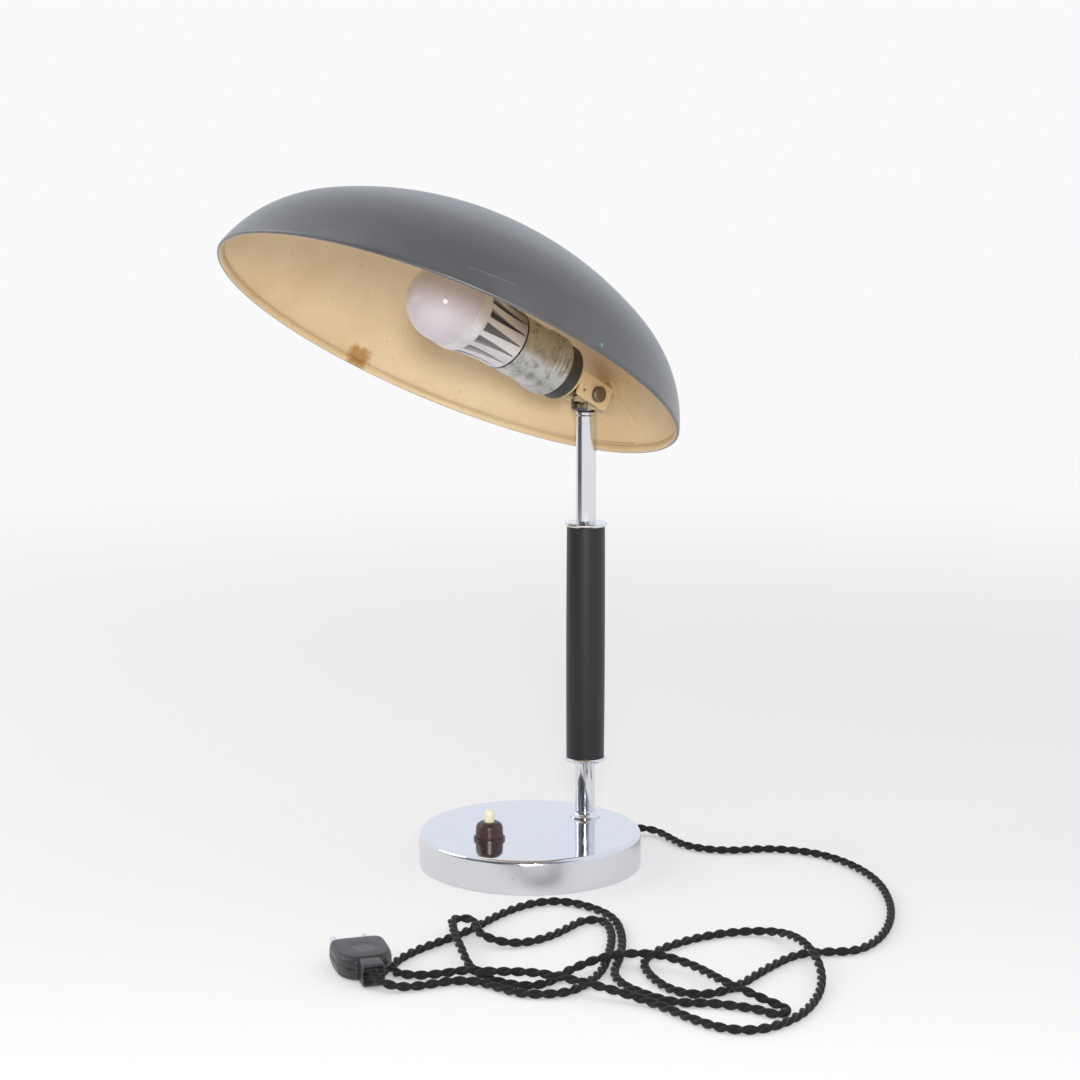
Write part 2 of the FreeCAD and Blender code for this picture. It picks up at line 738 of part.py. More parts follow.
def to_seat(shape):
    """Carry a shape from its own axis to the seat, in the level shade's frame."""
    shape.rotate(ORIGIN, X_AXIS, 90 + seat_dip)
    shape.translate(Vector(0, seat_back, seat_rise))
    return shape


def to_holder(shape):
    return to_shade(to_seat(shape))


def make_holder_nipple():
    rear = -bracket_sheet - holder_nut_height - nipple_above_nut
    return to_holder(pipe(nipple_radius, nipple_bore, rear, holder_nipple_out))


def make_holder_nut():
    rear = -bracket_sheet - holder_nut_height
    nut = hexagon(holder_nut_flats, rear, -bracket_sheet)
    return to_holder(nut.cut(cylinder(nipple_radius, rear, -bracket_sheet)))


def make_holder_cap():
    wall = holder_cap_wall
    front = holder_cap_length
    shoulder = front / 4
    inner = holder_cap_radius - wall
    edges = lines([(nipple_radius, 0), (holder_cap_rear_radius, 0)])
    bend = ((holder_cap_rear_radius + holder_cap_radius) / 2 + wall / 4, shoulder / 2 - wall / 8)
    edges.append(bow((holder_cap_rear_radius, 0), bend, (holder_cap_radius, shoulder)))
    edges += lines([(holder_cap_radius, shoulder), (holder_cap_radius, front), (inner, front)])
    edges += lines([(inner, front), (inner, shoulder + wall), (inner - wall, wall), (nipple_radius, wall)])
    edges += lines([(nipple_radius, wall), (nipple_radius, 0)])
    return to_holder(spin(edges))


def make_holder_shell():
    """The metal skirt: ribs over the cap's end, a plain barrel and a rolled mouth."""
    outer = holder_shell_radius
    inner = outer - holder_shell_wall
    rear = holder_cap_length
    outline = [(holder_core_radius + slip, rear), (outer, rear)]
    for rib in range(rib_count):
        start = rear + rib * rib_pitch
        outline += [(outer, start + rib_pitch * 0.2), (outer + rib_height, start + rib_pitch * 0.4)]
        outline += [(outer + rib_height, start + rib_pitch * 0.7), (outer, start + rib_pitch * 0.9)]
    lip = holder_mouth - 2 * holder_lip
    outline += [(outer, lip), (outer + holder_lip, lip + holder_lip / 2)]
    outline += [(outer + holder_lip, holder_mouth), (inner, holder_mouth)]
    outline += [(inner, rear + holder_shell_wall), (holder_core_radius + slip, rear + holder_shell_wall)]
    return to_holder(spin_profile(outline))


def make_holder_core():
    """The insulating block, which stands on the nipple's end inside the cap."""
    inner = holder_cap_radius - holder_cap_wall - seat_gap
    outline = [(0, holder_nipple_out), (inner - holder_cap_wall, holder_nipple_out)]
    outline += [(inner - holder_cap_wall, holder_cap_length), (holder_core_radius, holder_cap_length)]
    outline += [(holder_core_radius, core_front), (0, core_front)]
    return to_holder(spin_profile(outline))


def make_holder_liner():
    return to_holder(pipe(liner_radius, liner_inner_radius, core_front, liner_front))


def make_holder_contact():
    return to_holder(cylinder(contact_radius, core_front, bulb_tip_rear))


def make_bulb_cap():
    """Screw cap with its tip, under the neck that fills the holder's mouth."""
    outline = [(0, bulb_tip_rear), (bulb_tip_radius, bulb_tip_rear)]
    outline += [(bulb_tip_radius, bulb_cap_rear), (bulb_cap_radius, bulb_cap_rear + bulb_tip_length)]
    outline += [(bulb_cap_radius, bulb_cap_front), (0, bulb_cap_front)]
    return to_holder(spin_profile(outline))


def make_bulb_neck():
    widen = bulb_neck_radius - bulb_cap_radius
    outline = [(0, bulb_cap_front), (bulb_cap_radius, bulb_cap_front)]
    outline += [(bulb_neck_radius, bulb_cap_front + widen), (bulb_neck_radius, sink_rear), (0, sink_rear)]
    return to_holder(spin_profile(outline))


def sink_solid():
    middle = (sink_waist_radius, (sink_rear + sink_front) / 2)
    edges = lines([(sink_bore, sink_front), (sink_bore, sink_rear), (sink_rear_radius, sink_rear)])
    edges.append(bow((sink_rear_radius, sink_rear), middle, (sink_front_radius, sink_front)))
    edges += lines([(sink_front_radius, sink_front), (sink_bore, sink_front)])
    return spin(edges)


def sink_slot():
    """One tapered slot, wide towards the light and narrow towards the holder."""
    rear = sink_rear + slot_rear_margin
    front = sink_front - slot_front_margin
    corners = [Vector(-slot_rear_half_width, slot_floor_radius, rear)]
    corners.append(Vector(slot_rear_half_width, slot_floor_radius, rear))
    corners.append(Vector(slot_front_half_width, slot_floor_radius, front))
    corners.append(Vector(-slot_front_half_width, slot_floor_radius, front))
    face = Part.Face(Part.makePolygon(corners + [corners[0]]))
    return face.extrude(Vector(0, sink_front_radius, 0))


def make_bulb_heat_sink():
    sink = sink_solid()
    slots = []
    for index in range(slot_count):
        slot = sink_slot()
        slot.rotate(ORIGIN, Z_AXIS, slot_phase + 360 * index / slot_count)
        slots.append(slot)
    return to_holder(sink.cut(slots))


def make_bulb_ring():
    ease = bulb_ring_radius - sink_front_radius
    outline = [(sink_bore, sink_front), (bulb_ring_radius - ease, sink_front)]
    outline += [(bulb_ring_radius, sink_front + ease), (bulb_ring_radius, ring_front - ease)]
    outline += [(bulb_ring_radius - ease, ring_front), (sink_bore, ring_front)]
    return to_holder(spin_profile(outline))


def make_bulb_diffuser():
    outer = diffuser_radius
    inner = outer - diffuser_wall
    foot = outer - (bulb_ring_radius - sink_front_radius) * 1.5
    lean = math.sqrt(0.5)
    centre = diffuser_centre
    edges = lines([(foot - diffuser_wall, ring_front), (foot, ring_front), (outer, centre)])
    edges.append(bow((outer, centre), (outer * lean, centre + outer * lean), (0, centre + outer)))
    edges += lines([(0, centre + outer), (0, centre + inner)])
    edges.append(bow((0, centre + inner), (inner * lean, centre + inner * lean), (inner, centre)))
    edges += lines([(inner, centre), (foot - diffuser_wall, ring_front)])
    return to_holder(spin(edges))


# Cord and plug

def cord_path():
    """Straight runs joined by arcs, each as large as the shorter of its two runs allows."""
    points = [Vector(*point) for point in cord_points]
    edges = []
    radii = []
    last = points[0]
    for before, corner, after in zip(points[:-2], points[1:-1], points[2:]):
        back = before - corner
        ahead = after - corner
        reach = cord_corner_share * min(back.Length, ahead.Length)
        back.normalize()
        ahead.normalize()
        half_turn = (math.pi - back.getAngle(ahead)) / 2
        radius = reach / math.tan(half_turn)
        radii.append(radius)
        enter = corner + back * reach
        leave = corner + ahead * reach
        inward = back + ahead
        inward.normalize()
        middle = corner + inward * (radius / math.cos(half_turn) - radius)
        edges.append(Part.LineSegment(last, enter).toShape())
        edges.append(Part.Arc(enter, middle, leave).toShape())
        last = leave
    edges.append(Part.LineSegment(last, points[-1]).toShape())
    print("cord radii", [round(radius, 1) for radius in radii])
    return Part.Wire(edges)


def make_mains_cord():
    path = cord_path()
    start = Vector(*cord_points[0])
    heading = Vector(*cord_points[1]) - start
    section = Part.Wire([Part.makeCircle(cord_diameter / 2, start, heading)])
    tube = path.makePipeShell([section], True, False)
    expected = math.pi * (cord_diameter / 2) ** 2 * path.Length
    print("cord length", round(path.Length, 1), "volume ratio", round(tube.Volume / expected, 4))
    return tube


def to_plug(shape):
    """Carry a shape from the plug's own frame, X along the pins, to the cord's end."""
    end = Vector(*cord_points[-1])
    before = Vector(*cord_points[-2])
    heading = end - before
    shape.rotate(ORIGIN, Z_AXIS, math.degrees(math.atan2(heading.y, heading.x)))
    shape.translate(Vector(end.x, end.y, 0))
    return shape


def plug_outline(rear, shoulder, front, half_width, rear_half_width, height):
    """Plan of the plug: a rounded back that widens to straight sides and a square front."""
    bend = (rear + (shoulder - rear) * 0.4, rear_half_width + (half_width - rear_half_width) * 0.62)
    edges = []
    for side in (1, -1):
        corners = [(rear, rear_half_width), bend, (shoulder, half_width), (front, half_width)]
        a, b, c, d = [Vector(x, side * y, height) for x, y in corners]
        edges.append([Part.Arc(a, b, c).toShape(), Part.LineSegment(c, d).toShape(), d, a])
    front_edge = Part.LineSegment(edges[0][2], edges[1][2]).toShape()
    rear_edge = Part.LineSegment(edges[1][3], edges[0][3]).toShape()
    right, left = edges
    return Part.Wire([right[0], right[1], front_edge, left[1], left[0], rear_edge])


def plug_half(up):
    """One moulded half, from the parting face to its flat outer face."""
    face_height = plug_parting_height + up * plug_half_thickness
    face_rear_half_width = plug_rear_half_width * plug_face_half_width / plug_half_width
    parting = plug_outline(plug_rear, plug_shoulder_start, plug_length,
                           plug_half_width, plug_rear_half_width, plug_parting_height)
    face = plug_outline(plug_rear + plug_face_inset, plug_shoulder_start + plug_face_inset,
                        plug_length - plug_face_front_inset,
                        plug_face_half_width, face_rear_half_width, face_height)
    half = Part.makeLoft([parting, face], True, True)
    low = min(plug_parting_height, face_height)
    high = max(plug_parting_height, face_height)
    half = half.fuse(block(-collar_length, plug_shoulder_start, -collar_half_width, collar_half_width, low, high))
    mouth_half = collar_half_width - collar_wall
    mouth = block(-collar_length, 0, -mouth_half, mouth_half,
                  plug_parting_height - plug_half_thickness + collar_wall,
                  plug_parting_height + plug_half_thickness - collar_wall)
    half = half.cut(mouth)
    for side in (1, -1):
        half = half.cut(plug_pin(side, slip))
    return half.cut(plug_screw_solid(slip)).removeSplitter()


def plug_pin(side, gap):
    base = Vector(plug_length - pin_inside - gap, side * pin_spacing / 2, plug_parting_height)
    length = pin_inside + pin_length + gap
    shaft = Part.makeCylinder(pin_radius + gap, length - pin_radius, base, X_AXIS)
    tip = Part.makeSphere(pin_radius + gap, base + Vector(length - pin_radius, 0, 0))
    return shaft.fuse(tip)


def plug_screw_solid(gap):
    bottom = plug_parting_height - plug_half_thickness
    head_top = bottom + plug_screw_head_height
    head = cylinder(plug_screw_head_radius + gap, bottom, head_top + gap, plug_screw_along)
    return head.fuse(cylinder(plug_screw_radius + gap, head_top, bottom + plug_screw_length + gap, plug_screw_along))


def finger_recess():
    """The shallow oval that a finger holds, cut across the upper half."""
    top = plug_parting_height + plug_half_thickness
    axis_height = recess_radius - recess_depth
    edges = [bow((0, -recess_half_width), (recess_radius, 0), (0, recess_half_width))]
    edges += lines([(0, recess_half_width), (0, -recess_half_width)])
    oval = spin(edges)
    oval.rotate(ORIGIN, X_AXIS, 90)
    oval.translate(Vector(recess_along, 0, top + axis_height))
    return oval


def make_plug_pins():
    return to_plug(Part.makeCompound([plug_pin(1, 0), plug_pin(-1, 0)]))


NODES = {
    "base_shell": make_base_shell,
    "base_weight": make_base_weight,
    "base_cover": make_base_cover,
    "base_felt": make_base_felt,
    "base_screws": make_base_screws,
    "cord_bush": make_cord_bush,
    "switch_cap": make_switch_cap,
    "switch_body": make_switch_body,
    "switch_button": make_button,
    "stem_tube": make_stem_tube,
    "stem_nut": make_stem_nut,
    "stem_washer": make_stem_washer,
    "foot_collar": make_foot_collar,
    "lower_flange": lambda: flange_profile(lower_flange_bottom, True),
    "grip_sleeve": make_grip_sleeve,
    "upper_flange": lambda: flange_profile(grip_top, False),
    "tube_insert": make_tube_insert,
    "neck_ring": make_neck_ring,
    "neck_washer": make_neck_washer,
    "neck_nipple": make_neck_nipple,
    "fork_nut": make_fork_nut,
    "head_fork": make_head_fork,
    "hinge_bolt": make_hinge_bolt,
    "hinge_washers": make_hinge_washers,
    "spring_washer": make_spring_washer,
    "hinge_nut": make_hinge_nut,
    "shade_shell": make_shade_shell,
    "shade_bracket": make_shade_bracket,
    "holder_nipple": make_holder_nipple,
    "holder_nut": make_holder_nut,
    "holder_cap": make_holder_cap,
    "holder_shell": make_holder_shell,
    "holder_core": make_holder_core,
    "holder_liner": make_holder_liner,
    "holder_contact": make_holder_contact,
    "bulb_cap": make_bulb_cap,
    "bulb_neck": make_bulb_neck,
    "bulb_heat_sink": make_bulb_heat_sink,
    "bulb_ring": make_bulb_ring,
    "bulb_diffuser": make_bulb_diffuser,
    "mains_cord": make_mains_cord,
    "plug_lower_half": lambda: to_plug(plug_half(-1)),
    "plug_upper_half": lambda: to_plug(plug_half(1).cut(finger_recess())),
    "plug_pins": make_plug_pins,
    "plug_screw": lambda: to_plug(plug_screw_solid(0)),
}

for node, make in NODES.items():
    save(make(), node)
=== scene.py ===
import bpy
import bmesh
from math import acos, asin, atan2, cos, degrees, hypot, pi, radians, sin, sqrt
from mathutils import Matrix, Vector


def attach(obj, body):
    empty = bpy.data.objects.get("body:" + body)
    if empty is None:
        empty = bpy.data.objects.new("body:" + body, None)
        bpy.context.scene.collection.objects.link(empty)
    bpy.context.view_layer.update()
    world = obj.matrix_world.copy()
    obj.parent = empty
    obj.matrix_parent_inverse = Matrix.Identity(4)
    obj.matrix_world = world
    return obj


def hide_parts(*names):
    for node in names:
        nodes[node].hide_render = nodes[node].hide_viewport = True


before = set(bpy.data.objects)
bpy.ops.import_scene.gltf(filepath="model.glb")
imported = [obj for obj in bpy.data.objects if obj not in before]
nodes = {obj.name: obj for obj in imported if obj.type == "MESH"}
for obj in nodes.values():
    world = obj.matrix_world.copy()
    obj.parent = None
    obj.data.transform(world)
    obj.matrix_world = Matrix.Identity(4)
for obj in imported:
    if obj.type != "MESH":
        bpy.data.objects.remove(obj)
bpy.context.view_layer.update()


# Studio: a seamless white paper sweep under the lamp, a soft box above the camera and an
# even white room. The paper whitens away from the lamp, so that no horizon shows.

def linear(code):
    """An sRGB hex colour as Blender's linear one."""
    parts = [int(code[i:i + 2], 16) / 255 for i in (0, 2, 4)]
    return (*[p / 12.92 if p <= 0.04045 else ((p + 0.055) / 1.055) ** 2.4 for p in parts], 1)


def add(tree, kind, inputs=None, **settings):
    """One shader node with its settings, its inputs given as values or as other nodes' sockets."""
    made = tree.nodes.new("ShaderNode" + kind)
    for name, value in settings.items():
        setattr(made, name, value)
    for name, value in (inputs or {}).items():
        if isinstance(value, bpy.types.NodeSocket):
            tree.links.new(value, made.inputs[name])
        else:
            made.inputs[name].default_value = value
    return made


def finish_of(name, **values):
    """A new material, its node tree and its shader, with even values set on the shader."""
    material = bpy.data.materials.new(name)
    material.use_nodes = True
    tree = material.node_tree
    tree.nodes.clear()
    shader = add(tree, "BsdfPrincipled", {key.replace("_", " "): value for key, value in values.items()})
    add(tree, "OutputMaterial", {"Surface": shader.outputs[0]})
    return material, tree, shader


def new_piece(name, form, *materials):
    """A finished object from a bmesh, at the origin."""
    mesh = bpy.data.meshes.new(name)
    form.to_mesh(mesh)
    form.free()
    mesh.shade_smooth()
    piece = bpy.data.objects.new(name, mesh)
    for material in materials:
        mesh.materials.append(material)
    bpy.context.scene.collection.objects.link(piece)
    return piece


floor_form = bmesh.new()
bmesh.ops.create_circle(floor_form, cap_ends=True, segments=96, radius=9)
# Matt background paper: very pale, without gloss.
paper, tree, shader = finish_of("paper_sweep", Roughness=0.9, Specular_IOR_Level=0.0)
place = add(tree, "TexCoord")
distance = add(tree, "VectorMath", {0: place.outputs["Object"]}, operation="LENGTH")
away = add(tree, "MapRange", {"Value": distance.outputs["Value"], "From Min": 0.3, "From Max": 2.2},
           interpolation_type="SMOOTHSTEP")
tone = add(tree, "Mix", {0: away.outputs[0], 6: linear("E6E5E7"), 7: linear("141414")}, data_type="RGBA")
tree.links.new(tone.outputs[2], shader.inputs["Base Color"])
ray = add(tree, "LightPath")
seen = add(tree, "Math", {0: ray.outputs["Is Camera Ray"], 1: ray.outputs["Is Glossy Ray"]}, operation="ADD")
seen = add(tree, "Math", {0: seen.outputs[0], 1: ray.outputs["Is Transmission Ray"]}, operation="ADD", use_clamp=True)
glow = add(tree, "MapRange", {"Value": away.outputs[0], "To Min": 0.17, "To Max": 0.95})
glow = add(tree, "Math", {0: glow.outputs[0], 1: seen.outputs[0]}, operation="MULTIPLY")
# Mirrored, the paper ends in the dark room left of the camera.
bearing = add(tree, "VectorMath", {0: place.outputs["Object"]}, operation="NORMALIZE")
towards = add(tree, "VectorMath", {0: bearing.outputs[0], 1: (-0.53, -0.85, 0)}, operation="DOT_PRODUCT")
dark = add(tree, "MapRange", {"Value": towards.outputs["Value"], "From Min": 0.80, "From Max": 0.95})
beyond = add(tree, "MapRange", {"Value": distance.outputs["Value"], "From Min": 0.5, "From Max": 0.9})
dark = add(tree, "Math", {0: dark.outputs[0], 1: beyond.outputs[0]}, operation="MULTIPLY")
dark = add(tree, "Math", {0: dark.outputs[0], 1: ray.outputs["Is Glossy Ray"]}, operation="MULTIPLY")
kept = add(tree, "MapRange", {"Value": dark.outputs[0], "To Min": 1.0, "To Max": 0.12})
glow = add(tree, "Math", {0: glow.outputs[0], 1: kept.outputs[0]}, operation="MULTIPLY")
tree.links.new(glow.outputs[0], shader.inputs["Emission Strength"])
shader.inputs["Emission Color"].default_value = (1, 1, 1, 1)
new_piece("paper_floor", floor_form, paper)

camera_place = Vector((1.0929, -0.9460, 0.4450))
camera_heading = Vector((-0.7442, 0.6502, -0.1530))
lens = bpy.data.cameras.new("photo_camera")
lens.sensor_width = 36
lens.lens = 73.33
lens.clip_start = 0.05
lens.clip_end = 60
camera = bpy.data.objects.new("photo_camera", lens)
camera.location = camera_place
camera.rotation_euler = camera_heading.to_track_quat("-Z", "Y").to_euler()
bpy.context.scene.collection.objects.link(camera)
bpy.context.scene.camera = camera

for name, place, aim, size, power in (
    ("soft_box", (1.16, -0.98, 0.60), (0, -0.05, 0.30), 0.24, 12.0),
    ("side_fill", (-1.3, -1.2, 1.1), (0, -0.05, 0.25), 1.2, 7.0),
):
    lamp = bpy.data.lights.new(name, "AREA")
    lamp.shape = "DISK"
    lamp.size = size
    lamp.energy = power
    holder = bpy.data.objects.new(name, lamp)
    holder.location = place
    holder.rotation_euler = (Vector(aim) - Vector(place)).to_track_quat("-Z", "Y").to_euler()
    bpy.context.scene.collection.objects.link(holder)

room = bpy.data.worlds.new("white_room")
bpy.context.scene.world = room
room.use_nodes = True
tree = room.node_tree
tree.nodes.clear()
heading = add(tree, "TexCoord")
# The room left of the camera and over it is darker, as bright metal shows it.
above = add(tree, "VectorMath", {0: heading.outputs["Generated"], 1: (0.62, -0.54, 0.57)}, operation="DOT_PRODUCT")
ceiling = add(tree, "MapRange", {"Value": above.outputs["Value"], "From Min": 0.62, "From Max": 0.92,
                                 "To Min": 1.0, "To Max": 0.22})
left = add(tree, "VectorMath", {0: heading.outputs["Generated"], 1: (-0.105, -0.989, 0.10)}, operation="DOT_PRODUCT")
left_shade = add(tree, "MapRange", {"Value": left.outputs["Value"], "From Min": 0.68, "From Max": 0.84,
                                    "To Min": 1.0, "To Max": 0.22})
mirror_tone = add(tree, "Math", {0: ceiling.outputs[0], 1: left_shade.outputs[0]}, operation="MULTIPLY")
ray = add(tree, "LightPath")
plain = add(tree, "Background", {"Color": (1, 1, 1, 1), "Strength": 0.70})
mirrored = add(tree, "Background", {"Color": linear("F2F6FF"), "Strength": mirror_tone.outputs[0]})
backdrop = add(tree, "Background", {"Color": linear("FAFAFB"), "Strength": 1.0})
seen = add(tree, "MixShader", {0: ray.outputs["Is Glossy Ray"], 1: plain.outputs[0], 2: mirrored.outputs[0]})
clear = add(tree, "Math", {0: ray.outputs["Is Camera Ray"], 1: ray.outputs["Is Transmission Ray"]},
            operation="ADD", use_clamp=True)
seen = add(tree, "MixShader", {0: clear.outputs[0], 1: seen.outputs[0], 2: backdrop.outputs[0]})
add(tree, "OutputWorld", {"Surface": seen.outputs[0]})


# Mains cord: two cores, each braided over with black cotton, twisted together and left
# lying as it fell. It leaves the back of the base and ends in the plug.

cord_route = [
    (0, 79, 6), (0, 95, 6), (11, 107, 4.2), (30, 104, 2.8), (50, 98, 2.8), (76, 109, 2.8),
    (93, 141, 2.8), (130, 158, 2.8), (183, 144, 2.8), (231, 104, 2.8), (262, 60, 2.8),
    (272, 24, 2.8), (258, 7, 2.8), (250, -9, 2.8), (256, -41, 2.8), (266, -76, 2.8),
    (263, -98, 2.8), (247, -107, 2.8), (223, -101, 2.8), (200, -87, 2.8), (191, -66, 2.8),
    (190, -42, 2.8), (193, -20, 2.8), (202, 0, 2.8), (219, 10, 4.6), (244, 2, 8.7),
    (270, -13, 8.7), (290, -29, 4.6), (307, -52, 2.8), (320, -81, 2.8), (321, -111, 2.8),
    (307, -126, 2.8), (286, -129, 2.8), (266, -128, 2.8), (250, -129, 3.2), (236, -135, 5.6),
    (221, -144, 8.6), (204, -151, 9.6), (187, -156, 9.2), (175, -165, 8.8), (165, -176, 8.8),
    (153, -182, 7.8), (142, -189, 4.4), (134, -196, 2.8), (127, -203.5, 2.8), (118.4, -206.8, 2.8),
    (108.4, -200.8, 2.8), (102, -190, 2.8), (96, -171, 2.8), (93, -144, 2.8), (88, -121, 2.8),
    (78, -93, 2.8), (74, -64, 2.8), (83, -46, 2.8), (106, -40, 2.8), (132, -44, 2.8),
    (160, -64, 2.8), (185.5, -90, 2.8), (202, -112, 2.8), (219, -121, 2.8), (235, -122, 2.8),
    (250, -121, 2.8), (263, -116, 2.8), (272, -105, 2.8), (285, -97, 2.8), (298, -91, 2.8),
    (308, -90.6, 2.8), (311.6, -84.5, 2.8), (308, -78.4, 2.8), (299, -79, 3.4), (286, -84, 6.8),
    (265, -86, 9), (241, -78, 7.4), (223, -77, 7.4), (210, -82, 8.9), (201, -89, 9),
    (194, -99, 9), (190, -111, 8.2), (186, -122, 5.6), (185, -136, 3.4), (190, -151, 2.8),
    (187, -163, 2.8), (175, -170, 2.8), (158, -173, 2.8), (141, -170, 4.4), (122, -160, 8.6),
    (104, -150.5, 9.1), (91.5, -141, 9.1), (81, -134.5, 8.9), (81.8, -127.3, 8.8),
    (88.1, -123.9, 8.8), (98.5, -128.5, 8.9), (109, -136.5, 8.6), (120, -131, 4.8),
    (129, -119, 2.8), (131, -99, 2.8), (126, -78, 2.8), (121, -64, 2.8), (124.5, -55.5, 2.8),
    (133, -53.5, 2.8), (143, -59, 2.8), (159, -72, 2.8), (179, -94, 2.8), (194.5, -112.5, 2.8),
    (204, -131, 2.8), (209, -150, 2.8), (204, -163, 2.8), (193, -174, 2.8), (179, -177, 2.8),
    (163, -179, 2.8), (151, -189, 2.8), (148, -201, 2.8), (144.5, -211.5, 2.8),
    (140.5, -220, 3.4), (134.8, -226.7, 5.6), (128.5, -228.2, 8), (122.4, -225.5, 8),
]
cord_width = 0.0054
twist_pitch = 0.0166
steps_per_twist = 14

line = bpy.data.curves.new("cord_line", "CURVE")
line.dimensions = "3D"
line.resolution_u = 16
spline = line.splines.new("NURBS")
spline.points.add(len(cord_route) - 1)
for point, spot in zip(spline.points, cord_route):
    point.co = (spot[0] / 1000, spot[1] / 1000, spot[2] / 1000, 1)
spline.order_u = 3
spline.use_endpoint_u = True
guide = bpy.data.objects.new("cord_line", line)
bpy.context.scene.collection.objects.link(guide)
read = bpy.data.meshes.new_from_object(guide)
cord_path = [vertex.co.copy() for vertex in read.vertices]
bpy.data.objects.remove(guide)
bpy.data.meshes.remove(read)

# Even steps along the path, so that the twist has one pitch all the way.
cord_steps = [cord_path[0]]
step = twist_pitch / steps_per_twist
left_over = step
for start, end in zip(cord_path[:-1], cord_path[1:]):
    gap = (end - start).length
    walked = left_over
    while walked < gap:
        cord_steps.append(start.lerp(end, walked / gap))
        walked += step
    left_over = walked - gap

strands = bpy.data.curves.new("twisted_strands", "CURVE")
strands.dimensions = "3D"
strand_radius = cord_width * 0.275
strands.bevel_depth = strand_radius
strands.bevel_resolution = 3
strands.use_fill_caps = True
for turned in (0, pi):
    strand = strands.splines.new("POLY")
    strand.points.add(len(cord_steps) - 1)
    for index, spot in enumerate(cord_steps):
        ahead = cord_steps[min(index + 1, len(cord_steps) - 1)] - cord_steps[max(index - 1, 0)]
        across = ahead.cross(Vector((0, 0, 1))).normalized()
        upward = across.cross(ahead).normalized()
        angle = 2 * pi * index / steps_per_twist + turned
        offset = (across * cos(angle) + upward * sin(angle)) * (cord_width / 2 - strand_radius)
        strand.points[index].co = (*(spot + offset), 1)
wound = bpy.data.objects.new("twisted_strands", strands)
bpy.context.scene.collection.objects.link(wound)
cord_mesh = bpy.data.meshes.new_from_object(wound)
bpy.data.objects.remove(wound)
cord_mesh.shade_smooth()
cord = bpy.data.objects.new("cord_strands", cord_mesh)
bpy.context.scene.collection.objects.link(cord)

# Black cotton braid: matt, with a faint sheen of loose fibre. The braid's real pitch of
# 0.8 mm is drawn at 1.1 mm, the finest that shows.
cotton, tree, shader = finish_of("black_cotton_braid", Roughness=0.82, Specular_IOR_Level=0.3,
                                 Sheen_Weight=0.12, Sheen_Roughness=0.5)
thread = add(tree, "UVMap")
across = add(tree, "Mapping", {"Vector": thread.outputs[0], "Scale": (2100, 8, 1), "Rotation": (0, 0, 0)})
first = add(tree, "TexWave", {"Vector": across.outputs[0], "Scale": 0.5}, bands_direction="DIAGONAL")
mirrored_way = add(tree, "Mapping", {"Vector": thread.outputs[0], "Scale": (2100, -8, 1)})
second = add(tree, "TexWave", {"Vector": mirrored_way.outputs[0], "Scale": 0.5}, bands_direction="DIAGONAL")
weave = add(tree, "Math", {0: first.outputs["Fac"], 1: second.outputs["Fac"]}, operation="MAXIMUM")
place = add(tree, "TexCoord")
worn = add(tree, "TexNoise", {"Vector": place.outputs["Object"], "Scale": 60, "Detail": 3})
thread_tone = add(tree, "Mix", {0: weave.outputs[0], 6: linear("0E0E0F"), 7: linear("1E1E20")}, data_type="RGBA")
tone = add(tree, "Mix", {0: worn.outputs["Fac"], 6: thread_tone.outputs[2], 7: linear("161517")}, data_type="RGBA")
tree.links.new(tone.outputs[2], shader.inputs["Base Color"])
relief = add(tree, "Bump", {"Height": weave.outputs[0], "Strength": 0.5, "Distance": 0.00025})
tree.links.new(relief.outputs[0], shader.inputs["Normal"])
cord_mesh.materials.clear()
cord_mesh.materials.append(cotton)
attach(cord, "stand")
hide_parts("mains_cord")


# Base, stem, collars and flanges: turned and pressed steel, polished and chromed. The plate
# mirrors the room, and has fine wipe marks and a few pits where the rust came through.

chrome, tree, shader = finish_of("polished_chrome_plate", Metallic=1.0)
place = add(tree, "TexCoord")
wipe = add(tree, "TexNoise", {"Vector": place.outputs["Object"], "Scale": 45, "Detail": 4, "Roughness": 0.6})
haze = add(tree, "MapRange", {"Value": wipe.outputs["Fac"], "From Min": 0.4, "From Max": 0.75,
                              "To Min": 0.05, "To Max": 0.15})
pit_cells = add(tree, "TexVoronoi", {"Vector": place.outputs["Object"], "Scale": 130}, feature="F1")
pit_patches = add(tree, "TexNoise", {"Vector": place.outputs["Object"], "Scale": 55, "Detail": 2})
near_pit = add(tree, "MapRange", {"Value": pit_cells.outputs["Distance"], "From Min": 0.05, "From Max": 0.14,
                                  "To Min": 1.0, "To Max": 0.0})
patch = add(tree, "MapRange", {"Value": pit_patches.outputs["Fac"], "From Min": 0.60, "From Max": 0.68})
pit = add(tree, "Math", {0: near_pit.outputs[0], 1: patch.outputs[0]}, operation="MULTIPLY")
tone = add(tree, "Mix", {0: pit.outputs[0], 6: linear("DFE1E5"), 7: linear("6E6A66")}, data_type="RGBA")
rough = add(tree, "Mix", {0: pit.outputs[0], 2: haze.outputs[0], 3: 0.5}, data_type="FLOAT")
spread = add(tree, "SeparateXYZ", {0: place.outputs["Object"]})
wall = add(tree, "MapRange", {"Value": spread.outputs["Z"], "From Min": 0.0195, "From Max": 0.0215,
                              "To Min": 0.28, "To Max": 0.0})
rough = add(tree, "Math", {0: rough.outputs[0], 1: wall.outputs[0]}, operation="ADD")
swell = add(tree, "TexNoise", {"Vector": place.outputs["Object"], "Scale": 28, "Detail": 1})
relief = add(tree, "Bump", {"Height": swell.outputs["Fac"], "Strength": 0.06, "Distance": 0.004})
tree.links.new(tone.outputs[2], shader.inputs["Base Color"])
tree.links.new(rough.outputs[0], shader.inputs["Roughness"])
tree.links.new(relief.outputs[0], shader.inputs["Normal"])


